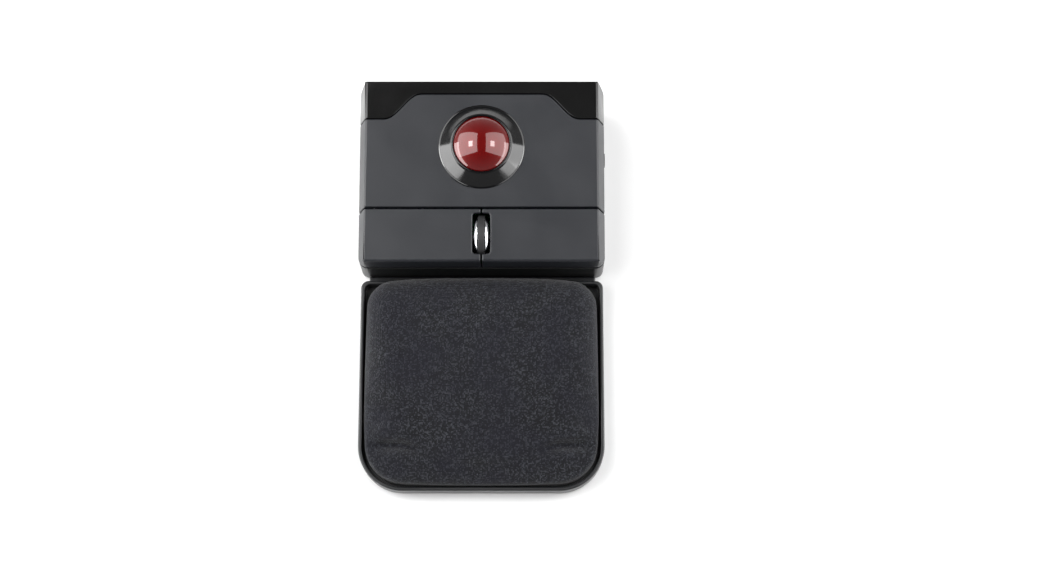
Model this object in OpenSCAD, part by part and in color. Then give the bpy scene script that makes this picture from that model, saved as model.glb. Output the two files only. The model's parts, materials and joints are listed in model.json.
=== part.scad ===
// Wireless trackball mouse with a padded wrist rest that pulls off.
// Frame: X to the right, Y away from the user, Z up. The origin lies on the desk,
// under the middle of the whole object. All sizes are in millimetres.

/* [Overall] */
// Width of the mouse body
body_w = 82; // [80:0.5:100]
// Length of the mouse body, front wall to rear wall
body_l = 61.5; // [61.5:0.5:76]
// Length of body and wrist rest together
overall_l = 135; // [115:0.5:165]
// Height of the top face at the front edge of the buttons
front_h = 24; // [23.5:0.5:29]
// Slope of the top face, rising to the rear
tilt = 3.5; // [2:0.5:5]
// Height of the seam between the bottom shell and what stands on it
split_z = 14.5; // [13.5:0.5:15.5]
// Radius of the body's upright corners
corner_r = 3; // [2:0.5:4]
// Wall of the bottom shell and the covers
wall = 2; // [1.8:0.1:2.2]
// How far the rubber feet stand proud of the shells
foot_h = 1; // [0.6:0.1:1.4]
// Floor thickness of the bottom shell
floor_t = 2.4; // [2.2:0.1:2.6]

/* [Trackball] */
// Diameter of the ball
ball_d = 25; // [20.5:0.5:26]
// Distance of the ball's centre behind the front wall
ball_from_front = 39; // [38:0.5:42]
// Height of the ring's inner edge above the top face
ring_rise = 4.2; // [3.6:0.1:4.6]
// Latitude on the ball where the ring's inner edge holds it, in degrees
ring_latitude = 43; // [38:1:45]
// Clearance between ball and ring
ring_gap = 0.3; // [0.2:0.05:0.5]
// Diameter of the three ball bearings under the trackball
bearing_d = 2.4; // [2:0.1:3]

/* [Buttons] */
// Depth of the buttons, front wall to the seam behind them
button_l = 18; // [17:0.5:19]
// Wall of the buttons
button_wall = 1.4; // [1.2:0.1:1.5]
// Gap between moving covers
seam = 0.5; // [0.4:0.05:0.7]
// Angle that a button turns when it is pressed, in degrees
button_turn = 2.2; // [1.5:0.1:2.2]
// Diameter of the rod that the buttons turn on
rod_d = 1.5; // [1.2:0.1:1.8]

/* [Scroll wheel] */
// Diameter of the wheel over its tyre
wheel_d = 14.8; // [12:0.2:15]
// Width of the wheel over its bright rims
wheel_w = 4.8; // [4:0.1:5]
// Width of the rubber tyre
tyre_w = 2.2; // [1.8:0.1:2.6]
// Depth of the wheel's axis below the top face
wheel_drop = 5.3; // [5.2:0.1:5.8]
// Distance of the wheel's axis behind the front wall
wheel_from_front = 9.4; // [9.4:0.1:9.8]
// Diameter of the wheel's axle
axle_d = 2; // [1.6:0.1:2.2]

/* [Battery and receiver] */
// Diameter of the battery cell
cell_d = 14.2; // [10:0.1:14.5]
// Length of the battery cell over its nub
cell_l = 50.2; // [44:0.1:50.5]
// Width of the receiver's cap
cap_w = 15; // [14:0.5:16]
// Height of the receiver's cap
cap_h = 6.6; // [6:0.1:7]
// Length of the receiver's cap
cap_l = 6.8; // [6:0.1:7.2]
// Length of the plug outside the cap
plug_l = 12; // [11.5:0.1:12.5]

/* [Wrist rest] */
// Width of the wrist rest
rest_w = 81.4; // [78:0.2:96]
// Gap between the body's front wall and the wrist rest
join_gap = 2.4; // [1.5:0.1:3]
// Height of the tray's rim above the desk
rim_h = 7.5; // [6.5:0.5:9]
// Thickness of the tray's rim
rim_t = 1.3; // [1.1:0.1:1.6]
// Radius of the tray's two corners nearest the user
rest_front_r = 15; // [11:1:18]
// Highest point of the pad above the desk
pad_h = 18; // [15:0.5:20]
// Thickness of the pad's fabric
fabric_t = 0.8; // [0.6:0.1:1]

/* [Hidden] */
$fn = 64;

// Colours
dark_grey = [0.17, 0.17, 0.18];
gloss_black = [0.06, 0.06, 0.07];
soft_black = [0.1, 0.1, 0.11];
ball_red = [0.6, 0.03, 0.04];
steel = [0.72, 0.73, 0.75];
board_green = [0.05, 0.3, 0.15];
gold = [0.85, 0.65, 0.25];

// Places along Y
rear = overall_l / 2;
front = rear - body_l;
body_mid = (front + rear) / 2;
rest_rear = front - join_gap;
rest_front = -overall_l / 2;
rest_l = rest_rear - rest_front;
rest_mid = (rest_rear + rest_front) / 2;

// Heights
base_z = foot_h;
floor_top = base_z + floor_t;
lid_gap = 0.3;
key_gap = 1.1;
lip_h = 2;
lip_t = 1.05;
lip_clear = 0.15;

// Section of the body across X
band_w = 2;
band_drop = 7;
edge_r = 0.9;
slack = 60;

// Rear trim's seam, seen from above
trim_mid_l = 4.5;
trim_side_l = 13.1;
trim_flat_x = 20.3;
trim_step_w = 12.2;
trim_gap = 0.3;
ledge_t = 1.2;

// Trackball
ball_r = ball_d / 2;
ball_y = front + ball_from_front;
ball_w = ring_rise - (ball_r + ring_gap) * sin(ring_latitude);
ball_z = top_z(ball_y) + ball_w;
coat_t = 1.2;
cup_gap = 0.6;
cup_t = 1.5;
cup_r = ball_r + cup_gap;
cup_out = cup_r + cup_t;
collar_r = ball_r + ring_gap + 0.7;
ring_r = collar_r + 0.8;
lug_r = ring_r - 0.15;
lug_t = 1;
lug_span = 26;
ring_turn = 30;
ear_r = ball_r + 4.5;
ear_w = 2.6;
flange_t = 1.4;
flange_top = min(0.3, -ball_w - wall - lug_t - 0.4);
bearing_angle = 42;

// Scroll wheel
wheel_r = wheel_d / 2;
wheel_y = front + wheel_from_front;
wheel_z = top_z(wheel_y) - wheel_drop;
tyre_t = 1.3;
axle_r = axle_d / 2;
axle_left = -6.4;
axle_right = 10.6;
cheek_x = 3.4;
cheek_t = 1.2;
carrier_l = 6;
press = 0.5;
carrier_base_t = 1.2;
carrier_z = wheel_z - wheel_r - 0.27 - carrier_base_t;
bracket_gap = 0.15;
bracket_t = 1.25;
tact_w = 6;
tact_h = 3.1;
tact_plunger_r = 1.6;
disc_x = 9;
disc_t = 0.8;
disc_r = 3.2;
disc_slots = 12;

// Battery
cell_x = -(body_w / 2 - wall - 2.8 - cell_d / 2);
cell_y = front + 5.3;
door_t = 1.4;
cell_z = base_z + door_t + 0.35 + cell_d / 2;
door_w = cell_d + 1.8;
door_l = cell_l + 0.8;
door_y = front + 5;
door_clear = 0.25;
door_axis_y = door_y + door_l - door_t / 2;
door_axis_z = base_z + door_t / 2;
pin_r = 0.45;
pin_l = 1.2;
contact_t = 0.5;
nub_l = 1.2;
plate_y = cell_y + cell_l + 0.03;
bay_end = plate_y + contact_t + 0.02;
bay_wall = 1.2;
bay_in = cell_x + cell_d / 2 + 0.55;
bay_out = bay_in + bay_wall;
bay_top = split_z + 1.35;

// Sensor stack and main board
sensor_h = 1.6;
lens_min = 1.2;
ball_air = 0.8;
board_t = 1.6;
board_top = min(ball_z - ball_r - ball_air - lens_min - sensor_h,
    carrier_z - press - tact_h - 0.2);
lens_h = ball_z - ball_r - ball_air - sensor_h - board_top;
board_z = board_top - board_t;
board_front = front + 2.6;
board_side = body_w / 2 - 3;
board_left = bay_out + 0.85;
board_rear = rear - cap_l - plug_l - 1.8;
board_tail_l = 52;
board_tail_w = 28;

// Screws and bosses
screw_r = 1;
screw_hole = 0.02;
head_r = 1.9;
head_h = 1.4;
boss_r = 2.6;
boss_z = 9;
boss_left = bay_out + 4.25;
boss_right = body_w / 2 - 25;
boss_places = [[boss_left, front + 25.2], [boss_right, front + 25.2],
    [boss_left + 0.5, rear - 5], [boss_right - 0.5, rear - 5]];
board_screw_places = [[boss_left + 6, front + 27], [board_side - 6, front + 27], [board_side - 6, front + 7]];

// Buttons and their rod
rod_y = front + button_l + 2.8;
rod_z = top_z(rod_y) - 4.27;
rod_l = body_w - 9;
rod_run = 0.05;
barrel_r = rod_d / 2 + 0.95;
barrel_w = 4;
barrel_x = [8, body_w / 2 - 11];
lug_w = 2;
slot_w = 5.8;
slot_l = 13.7;
slot_r = 1;
half_seam = 0.25;

// Microswitches
switch_l = 12.8;
switch_w = 5.8;
switch_h = 6.5;
left_switch_x = bay_out + 0.05 + switch_l / 2;
right_switch_x = body_w / 2 - 27.2;
switch_y = front + 5.5;
plunger_up = 0.6;
plunger_len = 2.4;
plunger_w = 1.2;
stem_air = 0.08;
stem_r = 1.6;

// Side button
side_y = front + 37.8;
side_z = split_z - 0.4;
side_l = 5;
side_hgt = 3;
side_proud = 0.4;
side_clear = 0.15;
side_travel = 0.5;

// Power switch
power_y = front + 48.5;
power_travel = 3;
knob_w = 4;
knob_l = 3.2;

// Receiver in its bay
receiver_x = body_w / 2 - 12;
receiver_z = floor_top + 4.6;
plug_w = 12;
plug_h = 4.5;
plug_t = 0.3;
bay_clear = 0.3;
plug_tail = 3;
cap_face = rear - cap_l;
plug_tip = cap_face - plug_l;

// Joint between wrist rest and body
tongue_w = -2 * (cell_x + door_w / 2 + 3.1);
tongue_t = 1.2;
tongue_in = 11.5;
tongue_clear = 0.15;
rail_w = 1.5;
rail_t = 0.55;

// Wrist rest
rest_rear_r = 2.5;
tray_floor = 1.6;
bridge_t = 3;
pad_inset = rim_t + 0.5;
pad_rear_r = 7;
board_plate_t = 2.2;
pad_z = base_z + tray_floor + board_plate_t;
rest_screw_x = rest_w / 2 - 14;
foot_l = 14;
foot_w = 3.2;
foot_seat = 0.6;

function top_z(y) = front_h + (y - front) * tan(tilt);
function smooth(t) = (1 - cos(180 * max(0, min(1, t)))) / 2;
function trim_l(x) = trim_mid_l
    + (trim_side_l - trim_mid_l) * smooth((abs(x) - trim_flat_x) / trim_step_w);

// ---- shapes shared by several pieces ----

module tilted(y = front) {
    translate([0, y, top_z(y)]) rotate([tilt, 0, 0]) children();
}

module rounded_rect(w, l, r) {
    square([w - 2 * r, l], center = true);
    square([w, l - 2 * r], center = true);
    for (sx = [-1, 1], sy = [-1, 1])
        translate([sx * (w / 2 - r), sy * (l / 2 - r)]) circle(r);
}

// Outline with small corners at the rear and large ones at the front
module rest_outline(inset, rear_r, front_r) {
    w = rest_w - 2 * inset;
    l = rest_l - 2 * inset;
    translate([-w / 2 + front_r, -l / 2]) square([w - 2 * front_r, l - rear_r]);
    translate([-w / 2, -l / 2 + front_r]) square([w, l - front_r - rear_r]);
    translate([-w / 2 + rear_r, 0]) square([w - 2 * rear_r, l / 2]);
    for (sx = [-1, 1]) {
        translate([sx * (w / 2 - front_r), -l / 2 + front_r]) circle(front_r);
        translate([sx * (w / 2 - rear_r), l / 2 - rear_r]) circle(rear_r);
    }
}

module body_section(inset) {
    half = body_w / 2 - inset;
    lean = atan(band_w / band_drop);
    r = edge_r;
    corner = [for (a = [90 : -12 : lean]) [r * cos(a) - r, r * sin(a) - r]];
    side = concat([for (p = corner) [half - band_w + p[0], p[1] - inset]],
                  [[half, -band_drop - inset], [half, -slack]]);
    polygon(concat(side, [for (i = [len(side) - 1 : -1 : 0]) [-side[i][0], side[i][1]]]));
}

module body_side(inset) {
    y0 = front + inset;
    y1 = rear - inset;
    r = edge_r;
    arc = [0 : 15 : 90];
    polygon(concat([[y0, base_z - slack]],
                   [for (a = arc) [y0 + r - r * cos(a), top_z(y0) - inset - r + r * sin(a)]],
                   [for (a = arc) [y1 - r + r * sin(a), top_z(y1) - inset - r + r * cos(a)]],
                   [[y1, base_z - slack]]));
}

module body_plan(inset) {
    translate([0, body_mid])
        rounded_rect(body_w - 2 * inset, body_l - 2 * inset, max(corner_r - inset, 0.5));
}

// The outside of the whole mouse body, or a copy of it that lies inset further in
module body_form(inset) {
    intersection() {
        translate([0, 0, base_z]) linear_extrude(slack) body_plan(inset);
        tilted(body_mid) rotate([90, 0, 0])
            linear_extrude(2 * slack, center = true) body_section(inset);
        rotate([90, 0, 90]) linear_extrude(2 * slack, center = true) body_side(inset);
    }
}

module slab(y0, y1, z0, z1) {
    translate([-slack, y0, z0]) cube([2 * slack, y1 - y0, z1 - z0]);
}

module box(x0, x1, y0, y1, z0, z1) {
    translate([x0, y0, z0]) cube([x1 - x0, y1 - y0, z1 - z0]);
}

// Region behind the seam of the rear trim, moved forwards by lead
module trim_region(lead) {
    steps = [for (i = [0 : 10]) trim_flat_x + trim_step_w * i / 10];
    xs = concat([-body_w / 2 - 1], [for (i = [10 : -1 : 0]) -steps[i]], steps,
                [body_w / 2 + 1]);
    edge = [for (x = xs) [x, rear - trim_l(x) - lead]];
    linear_extrude(slack)
        polygon(concat(edge, [[body_w / 2 + 1, rear + 2], [-body_w / 2 - 1, rear + 2]]));
}

module pan_screw(l) {
    difference() {
        union() {
            cylinder(r = head_r, h = head_h);
            translate([0, 0, head_h - 0.01]) cylinder(r = screw_r, h = l - head_h);
        }
        for (a = [0, 90]) rotate([0, 0, a])
            translate([-1.1, -0.25, -0.01]) cube([2.2, 0.5, 0.8]);
    }
}

// Everything round the ball is turned about the axis of the ring
module ball_axis() {
    translate([0, ball_y, ball_z]) rotate([tilt, 0, 0]) children();
}

// ---- housing ----

module foot_places() {
    for (x = [-1, 1]) {
        translate([x * (body_w / 2 - 11), front + 2.6, 0]) children();
        translate([x * (body_w / 2 - 11), rear - 2.9, 0]) children();
    }
}

module foot_shape(grow, h) {
    linear_extrude(h) rounded_rect(foot_l + 2 * grow, foot_w + 2 * grow, foot_w / 2 + grow - 0.01);
}

module shell_walls() {
    difference() {
        intersection() {
            translate([0, 0, base_z]) linear_extrude(split_z - base_z) body_plan(0);
            rotate([90, 0, 0]) linear_extrude(2 * slack + 2 * rear, center = true)
                chamfered_section(body_w, 0);
            rotate([90, 0, 90]) linear_extrude(2 * slack, center = true)
                chamfered_section(body_l, body_mid);
        }
        translate([0, 0, floor_top]) linear_extrude(slack) body_plan(wall);
    }
}

// Section with small chamfers along the bottom edge
module chamfered_section(w, mid) {
    c = 0.8;
    translate([mid, 0]) polygon([[-w / 2 + c, base_z], [w / 2 - c, base_z],
        [w / 2, base_z + c], [w / 2, slack], [-w / 2, slack], [-w / 2, base_z + c]]);
}

module shell_lip() {
    lip_out = wall + lip_clear;
    difference() {
        union() {
            translate([0, 0, split_z - 1.5]) linear_extrude(1.5) body_plan(wall - 0.1);
            translate([0, 0, split_z - 0.1]) linear_extrude(lip_h + 0.1) body_plan(lip_out);
        }
        translate([0, 0, split_z - 2]) linear_extrude(slack) body_plan(lip_out + lip_t);
        box(-4.5, 4.5, front, front + 6, split_z - 2, slack);
        box(cell_x - 5.7, cell_x + 5.7, front + wall - 0.1, front + 6, split_z - 2, slack);
        for (p = boss_places) translate([p[0], p[1], split_z - 2])
            cylinder(r = boss_r + 0.3, h = slack);
        for (x = [left_switch_x, right_switch_x]) translate([x, switch_y, board_top])
            box(-switch_l / 2 - 0.3, switch_l / 2 + 0.3, -switch_w / 2 - 0.3, switch_w / 2 + 0.3, 0,
                switch_h + 0.3);
        box(body_w / 2 - wall - 3, body_w / 2 - wall + 0.05, side_y - side_l / 2 - 1.4,
            side_y + side_l / 2 + 1.4, split_z - 3, slack);
    }
}

module receiver_bay_block() {
    x = receiver_x;
    w = cap_w / 2 + bay_clear + bay_wall;
    h = cap_h / 2 + bay_clear + bay_wall;
    box(x - w, x + w, cap_face - bay_clear - bay_wall, rear - wall + 0.1, floor_top - 0.1,
        receiver_z + h);
    box(x - plug_w / 2 - bay_clear - bay_wall, x + plug_w / 2 + bay_clear + bay_wall,
        plug_tip - bay_clear - bay_wall, cap_face, floor_top - 0.1,
        receiver_z + plug_h / 2 + bay_clear + bay_wall);
}

module receiver_bay_hollow() {
    w = cap_w / 2 + bay_clear;
    h = cap_h / 2 + bay_clear;
    box(receiver_x - w, receiver_x + w, cap_face - bay_clear, rear + 1, receiver_z - h,
        receiver_z + h);
    box(receiver_x - plug_w / 2 - bay_clear, receiver_x + plug_w / 2 + bay_clear,
        plug_tip - bay_clear, cap_face, receiver_z - plug_h / 2 - bay_clear,
        receiver_z + plug_h / 2 + bay_clear);
    // thumb notch over the cap
    translate([receiver_x, rear + 0.6, receiver_z + h]) rotate([90, 0, 0])
        cylinder(r = 4, h = 1.8);
}

module tongue_shape(clear, y0, y1) {
    box(-tongue_w / 2 - clear, tongue_w / 2 + clear, y0, y1, base_z - 3 * clear,
        base_z + tongue_t + clear);
    box(-tongue_w / 2 - rail_w - clear, tongue_w / 2 + rail_w + clear, y0, y1,
        base_z + tongue_t - rail_t - clear, base_z + tongue_t + clear);
}

module side_window() {
    translate([body_w / 2 - wall - 1, side_y, side_z]) rotate([90, 0, 90])
        linear_extrude(wall + 2) rounded_rect(side_l + 2 * side_clear,
            side_hgt + 2 * side_clear, side_hgt / 2 + side_clear - 0.01);
}

module cell_room(clear) {
    translate([cell_x, cell_y + cell_l / 2, cell_z]) rotate([90, 0, 0])
        cylinder(r = cell_d / 2 + clear, h = cell_l + 0.6, center = true);
}

module bottom_shell() {
    color(dark_grey) difference() {
        union() {
            shell_walls();
            shell_lip();
            for (p = boss_places) translate([p[0], p[1], base_z])
                cylinder(r = boss_r + 0.2, h = boss_z - base_z);
            for (p = board_screw_places) translate([p[0], p[1], base_z])
                cylinder(r = 2.2, h = board_z - base_z);
            box(bay_in, bay_out, front + wall - 0.1, bay_end + 0.1, base_z + 0.1, bay_top);
            box(cell_x - cell_d / 2 - 0.8, bay_out, bay_end, bay_end + bay_wall, base_z + 0.1,
                bay_top);
            receiver_bay_block();
        }
        for (p = boss_places) translate([p[0], p[1], base_z - 1]) {
            cylinder(r = screw_r + 0.2, h = 20);
            cylinder(r = head_r + 0.3, h = 4);
        }
        for (p = board_screw_places) translate([p[0], p[1], floor_top - 0.4])
            cylinder(r = screw_r + screw_hole, h = 20);
        foot_places() translate([0, 0, base_z - 1]) foot_shape(0.1, 1 + foot_seat);
        receiver_bay_hollow();
        tongue_shape(tongue_clear, front - 1, front + tongue_in + 0.3);
        // battery door and its hinge
        box(cell_x - door_w / 2 - door_clear, cell_x + door_w / 2 + door_clear,
            door_y - door_clear, door_y + door_l + door_clear, base_z - 1, floor_top + 0.1);
        cell_room(0.4);
        // window and seat of the power slider
        box(-knob_w / 2 - 0.3, knob_w / 2 + power_travel + 0.3, power_y - knob_l / 2 - 0.3,
            power_y + knob_l / 2 + 0.3, base_z - 1, floor_top + 1);
        side_window();
        // hinge pins of the battery door
        translate([cell_x, door_axis_y, door_axis_z]) rotate([0, 90, 0])
            cylinder(r = pin_r + 0.05, h = door_w + 2 * pin_l + 0.4, center = true);
    }
}

module cover_shell() {
    difference() {
        body_form(0);
        body_form(wall);
        slab(front - 1, rear + 1, -slack, split_z + lid_gap);
    }
}

module top_cover() {
    color(dark_grey) difference() {
        union() {
            difference() {
                cover_shell();
                slab(front - 1, front + button_l + seam / 2, -slack, 2 * slack);
                trim_region(trim_gap / 2);
            }
            // ledge that the rear trim stands on
            intersection() {
                difference() {
                    body_form(wall - 0.1);
                    body_form(wall + ledge_t);
                }
                difference() {
                    trim_region(1.5);
                    translate([0, 0, -1]) trim_region(-2);
                    trim_top_clear();
                }
                slab(front, rear, split_z + lip_h + 0.5, 2 * slack);
            }
            for (p = boss_places) cover_post(p[0], p[1], boss_r, boss_z + 0.05);
            ball_posts();
            rod_lugs();
        }
        ball_axis() {
            cylinder(r = collar_r + 0.1, h = slack);
            translate([0, 0, -2]) cylinder(r = cup_r, h = 3);
            for (a = [0, 120, 240]) lug_sector(a + 90 + ring_turn, lug_r + 0.08, slack, -1);
        }
        for (p = boss_places) translate([p[0], p[1], 0])
            cylinder(r = screw_r + screw_hole, h = boss_z + 5);
        ball_axis() for (a = [90, 210, 330]) rotate([0, 0, a])
            translate([ear_r, 0, flange_top - 3.3]) cylinder(r = screw_r + screw_hole, h = 5.2);
        translate([0, rod_y, rod_z]) rotate([0, 90, 0])
            cylinder(r = rod_d / 2 + screw_hole, h = rod_l + 1, center = true);
        side_window();
    }
}

// Keeps the ledge clear of the trim's underside
module trim_top_clear() {
    intersection() {
        difference() {
            body_form(wall - 1);
            body_form(wall + 0.05);
        }
        trim_region(trim_gap / 2);
    }
}

module cover_post(x, y, r, z0) {
    intersection() {
        translate([x, y, z0]) cylinder(r = r, h = slack);
        body_form(wall + 0.1);
    }
    intersection() {
        translate([x, y, z0]) cylinder(r = r, h = slack);
        body_form(wall - 0.3);
        translate([0, 0, -1]) difference() {
            slab(front, rear, 0, slack);
            trim_region(trim_gap / 2 + 0.05);
        }
    }
}

module ball_posts() {
    intersection() {
        ball_axis() for (a = [90, 210, 330]) rotate([0, 0, a])
            translate([ear_r, 0, flange_top + 0.05]) cylinder(r = ear_w - 0.2, h = slack);
        body_form(wall + 0.1);
    }
    intersection() {
        ball_axis() for (a = [210, 330]) rotate([0, 0, a])
            translate([ear_r, 0, flange_top + 0.05]) cylinder(r = ear_w - 0.2, h = slack);
        body_form(wall - 0.3);
    }
}

module rod_lugs() {
    intersection() {
        for (s = [-1, 1], x = barrel_x)
            translate([s * (x + barrel_w / 2 + lug_w / 2 + 0.3), rod_y, 0])
                box(-lug_w / 2, lug_w / 2, -1.8, 1.8, rod_z - 1.6, slack);
        body_form(wall - 0.3);
    }
}

module rear_trim() {
    color(gloss_black) intersection() {
        cover_shell();
        translate([0, 0, -1]) trim_region(-trim_gap / 2);
    }
}

// ---- trackball ----

module ball_core() {
    color(ball_red) translate([0, ball_y, ball_z]) sphere(ball_r - coat_t - 0.04);
}

module ball_coat() {
    color(ball_red) translate([0, ball_y, ball_z]) difference() {
        sphere(ball_r);
        sphere(ball_r - coat_t);
    }
}

module lug_sector(a, r, h, z) {
    rotate([0, 0, a - lug_span / 2]) translate([0, 0, z])
        rotate_extrude(angle = lug_span) translate([collar_r - 0.4, 0])
            square([r - collar_r + 0.4, h]);
}

module retaining_ring() {
    z0 = -ball_w + 0.03;
    inner_r = (ball_r + ring_gap) * cos(ring_latitude);
    inner_z = (ball_r + ring_gap) * sin(ring_latitude);
    under = -ball_w - wall - 0.1;
    color(gloss_black) ball_axis() difference() {
        union() {
            rotate_extrude() polygon([[inner_r - 1, z0 + 0.6], [inner_r - 1, inner_z],
                [inner_r + 0.35, inner_z], [inner_r + 0.7, inner_z - 0.12],
                [ring_r - 0.45, z0 + 0.95], [ring_r - 0.1, z0 + 0.75], [ring_r, z0 + 0.5],
                [ring_r, z0], [collar_r, z0], [collar_r, under - lug_t],
                [inner_r + 0.6, under - lug_t]]);
            for (a = [0, 120, 240]) lug_sector(a + 90, lug_r, lug_t, under - lug_t);
        }
        sphere(ball_r + ring_gap);
        translate([0, 0, -slack + under - lug_t]) cylinder(r = 2 * ring_r, h = slack);
    }
}

module bearing_places() {
    for (a = [30, 150, 270]) rotate([0, bearing_angle, a])
        translate([0, 0, -ball_r - bearing_d / 2 - 0.02]) children();
}

module ball_cup() {
    color(soft_black) ball_axis() difference() {
        union() {
            difference() {
                sphere(cup_out);
                translate([0, 0, flange_top]) cylinder(r = 2 * cup_out, h = slack);
            }
            translate([0, 0, flange_top - flange_t]) {
                cylinder(r = cup_out + 1, h = flange_t);
                for (a = [90, 210, 330]) rotate([0, 0, a]) {
                    translate([ear_r, 0, 0]) cylinder(r = ear_w, h = flange_t);
                    translate([cup_r, -ear_w, 0]) cube([ear_r - cup_r, 2 * ear_w, flange_t]);
                }
            }
            bearing_places() translate([0, 0, -1]) cylinder(r = 2.3, h = 2.2);
        }
        sphere(cup_r);
        bearing_places() sphere(bearing_d / 2 + 0.02);
        for (a = [90, 210, 330]) rotate([0, 0, a]) translate([ear_r, 0, flange_top - flange_t - 1.3])
            cylinder(r = screw_r + 0.2, h = flange_t + 3);
        rotate([-tilt, 0, 0]) {
            translate([0, 0, -slack]) cylinder(r = 4, h = slack);
            translate([-5, rear - wall - 1.5 - ball_y, -slack]) cube([10, 10, 2 * slack]);
        }
    }
}

module cup_bearings() {
    color(steel) ball_axis() bearing_places() sphere(bearing_d / 2);
}

module cup_screws() {
    color(steel) ball_axis() for (a = [90, 210, 330]) rotate([0, 0, a])
        translate([ear_r, 0, flange_top - flange_t - head_h]) pan_screw(4.4);
}

// ---- buttons ----

module wheel_slot() {
    tilted(wheel_y) translate([0, 0, -slack / 2]) linear_extrude(slack)
        rounded_rect(slot_w, slot_l, slot_r);
}

// One button: side -1 is the left one
module button(side) {
    stem_z = board_top + switch_h + plunger_up + stem_air;
    x_out = side * slack;
    difference() {
        union() {
            difference() {
                body_form(0);
                body_form(button_wall);
                slab(front - 1, rear + 1, -slack, split_z + key_gap);
                slab(front + button_l - seam / 2, rear + 1, -slack, 2 * slack);
            }
            intersection() {
                translate([side < 0 ? left_switch_x : right_switch_x, switch_y, stem_z]) union() {
                    cylinder(r = stem_r, h = slack);
                    translate([-4, -0.5, 2]) cube([8, 1, slack]);
                    translate([-0.5, -1.8, 3]) cube([1, 5.3, slack]);
                }
                body_form(button_wall - 0.3);
            }
            button_arms(side);
        }
        box(min(-side * half_seam, -x_out), max(-side * half_seam, -x_out), front - 1, rear,
            -slack, slack);
        mirror([side < 0 ? 0 : 1, 0, 0]) box(-half_seam, slack, front - 1, rear, -slack, slack);
        wheel_slot();
        translate([0, rod_y, rod_z]) rotate([0, 90, 0])
            cylinder(r = rod_d / 2 + rod_run, h = 2 * slack, center = true);
        cell_room(0.4);
    }
}

module button_arms(side) {
    for (x = barrel_x) translate([side * x, 0, 0]) {
        intersection() {
            box(-barrel_w / 2, barrel_w / 2, rod_y - 6.2, rod_y - 4.2, rod_z - 0.8, slack);
            body_form(button_wall - 0.3);
        }
        box(-barrel_w / 2, barrel_w / 2, rod_y - 6.2, rod_y, rod_z - 0.8, rod_z + 0.8);
        translate([0, rod_y, rod_z]) rotate([0, 90, 0])
            cylinder(r = barrel_r, h = barrel_w, center = true);
    }
}

module left_button() { color(dark_grey) button(-1); }

module right_button() { color(dark_grey) button(1); }

module button_pivot_rod() {
    color(steel) translate([0, rod_y, rod_z]) rotate([0, 90, 0])
        cylinder(r = rod_d / 2, h = rod_l, center = true);
}

// ---- scroll wheel ----

module on_wheel_axis() {
    translate([0, wheel_y, wheel_z]) rotate([0, 90, 0]) children();
}

module wheel_tyre() {
    ribs = 36;
    color(soft_black) on_wheel_axis() difference() {
        translate([0, 0, -tyre_w / 2]) cylinder(r = wheel_r, h = tyre_w);
        translate([0, 0, -tyre_w]) cylinder(r = wheel_r - tyre_t, h = 2 * tyre_w);
        for (i = [0 : ribs - 1]) rotate([0, 0, i * 360 / ribs])
            translate([wheel_r + 0.1, 0, 0]) cylinder(r = 0.3, h = 2 * tyre_w, center = true);
    }
}

module wheel_hub() {
    rim_r = wheel_r - 0.35;
    seat_r = wheel_r - tyre_t - 0.02;
    half = wheel_w / 2;
    in = tyre_w / 2 + 0.02;
    flank = [[rim_r - 0.2, in], [rim_r, in + 0.15], [rim_r - 0.25, in + 0.55],
             [rim_r - 0.7, half - 0.12], [rim_r - 1.2, half], [rim_r - 2.6, half],
             [rim_r - 3, half - 0.7], [2.4, half - 0.7], [2.1, half]];
    color(steel) on_wheel_axis() rotate_extrude() polygon(concat(
        [[axle_r + 0.01, -half], [axle_r + 0.01, half]],
        [for (i = [len(flank) - 1 : -1 : 0]) flank[i]],
        [[seat_r, in], [seat_r, -in]],
        [for (p = flank) [p[0], -p[1]]]));
}

module wheel_axle() {
    color(steel) on_wheel_axis() translate([0, 0, axle_left])
        cylinder(r = axle_r, h = axle_right - axle_left);
}

module encoder_disc() {
    color(soft_black) on_wheel_axis() difference() {
        union() {
            translate([0, 0, disc_x]) cylinder(r = disc_r, h = disc_t);
            translate([0, 0, disc_x]) cylinder(r = axle_r + 0.5, h = disc_t + 0.6);
        }
        translate([0, 0, disc_x - 1]) cylinder(r = axle_r + 0.01, h = 4);
        for (i = [0 : disc_slots - 1]) rotate([0, 0, i * 360 / disc_slots])
            translate([disc_r - 1.3, -0.25, disc_x - 1]) cube([1, 0.5, 3]);
    }
}

module wheel_carrier() {
    color(soft_black) translate([0, wheel_y, 0]) difference() {
        union() {
            for (s = [-1, 1]) translate([s * (cheek_x + cheek_t / 2), 0, 0]) {
                box(-cheek_t / 2, cheek_t / 2, -carrier_l / 2, carrier_l / 2, carrier_z,
                    wheel_z - 1);
                translate([0, 0, wheel_z - 1]) rotate([0, 90, 0])
                    cylinder(r = carrier_l / 2, h = cheek_t, center = true);
            }
            box(-cheek_x - 0.1, cheek_x + 0.1, -carrier_l / 2, carrier_l / 2, carrier_z,
                carrier_z + carrier_base_t);
        }
        translate([0, 0, wheel_z]) rotate([0, 90, 0])
            cylinder(r = axle_r + rod_run, h = 20, center = true);
    }
}

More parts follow.
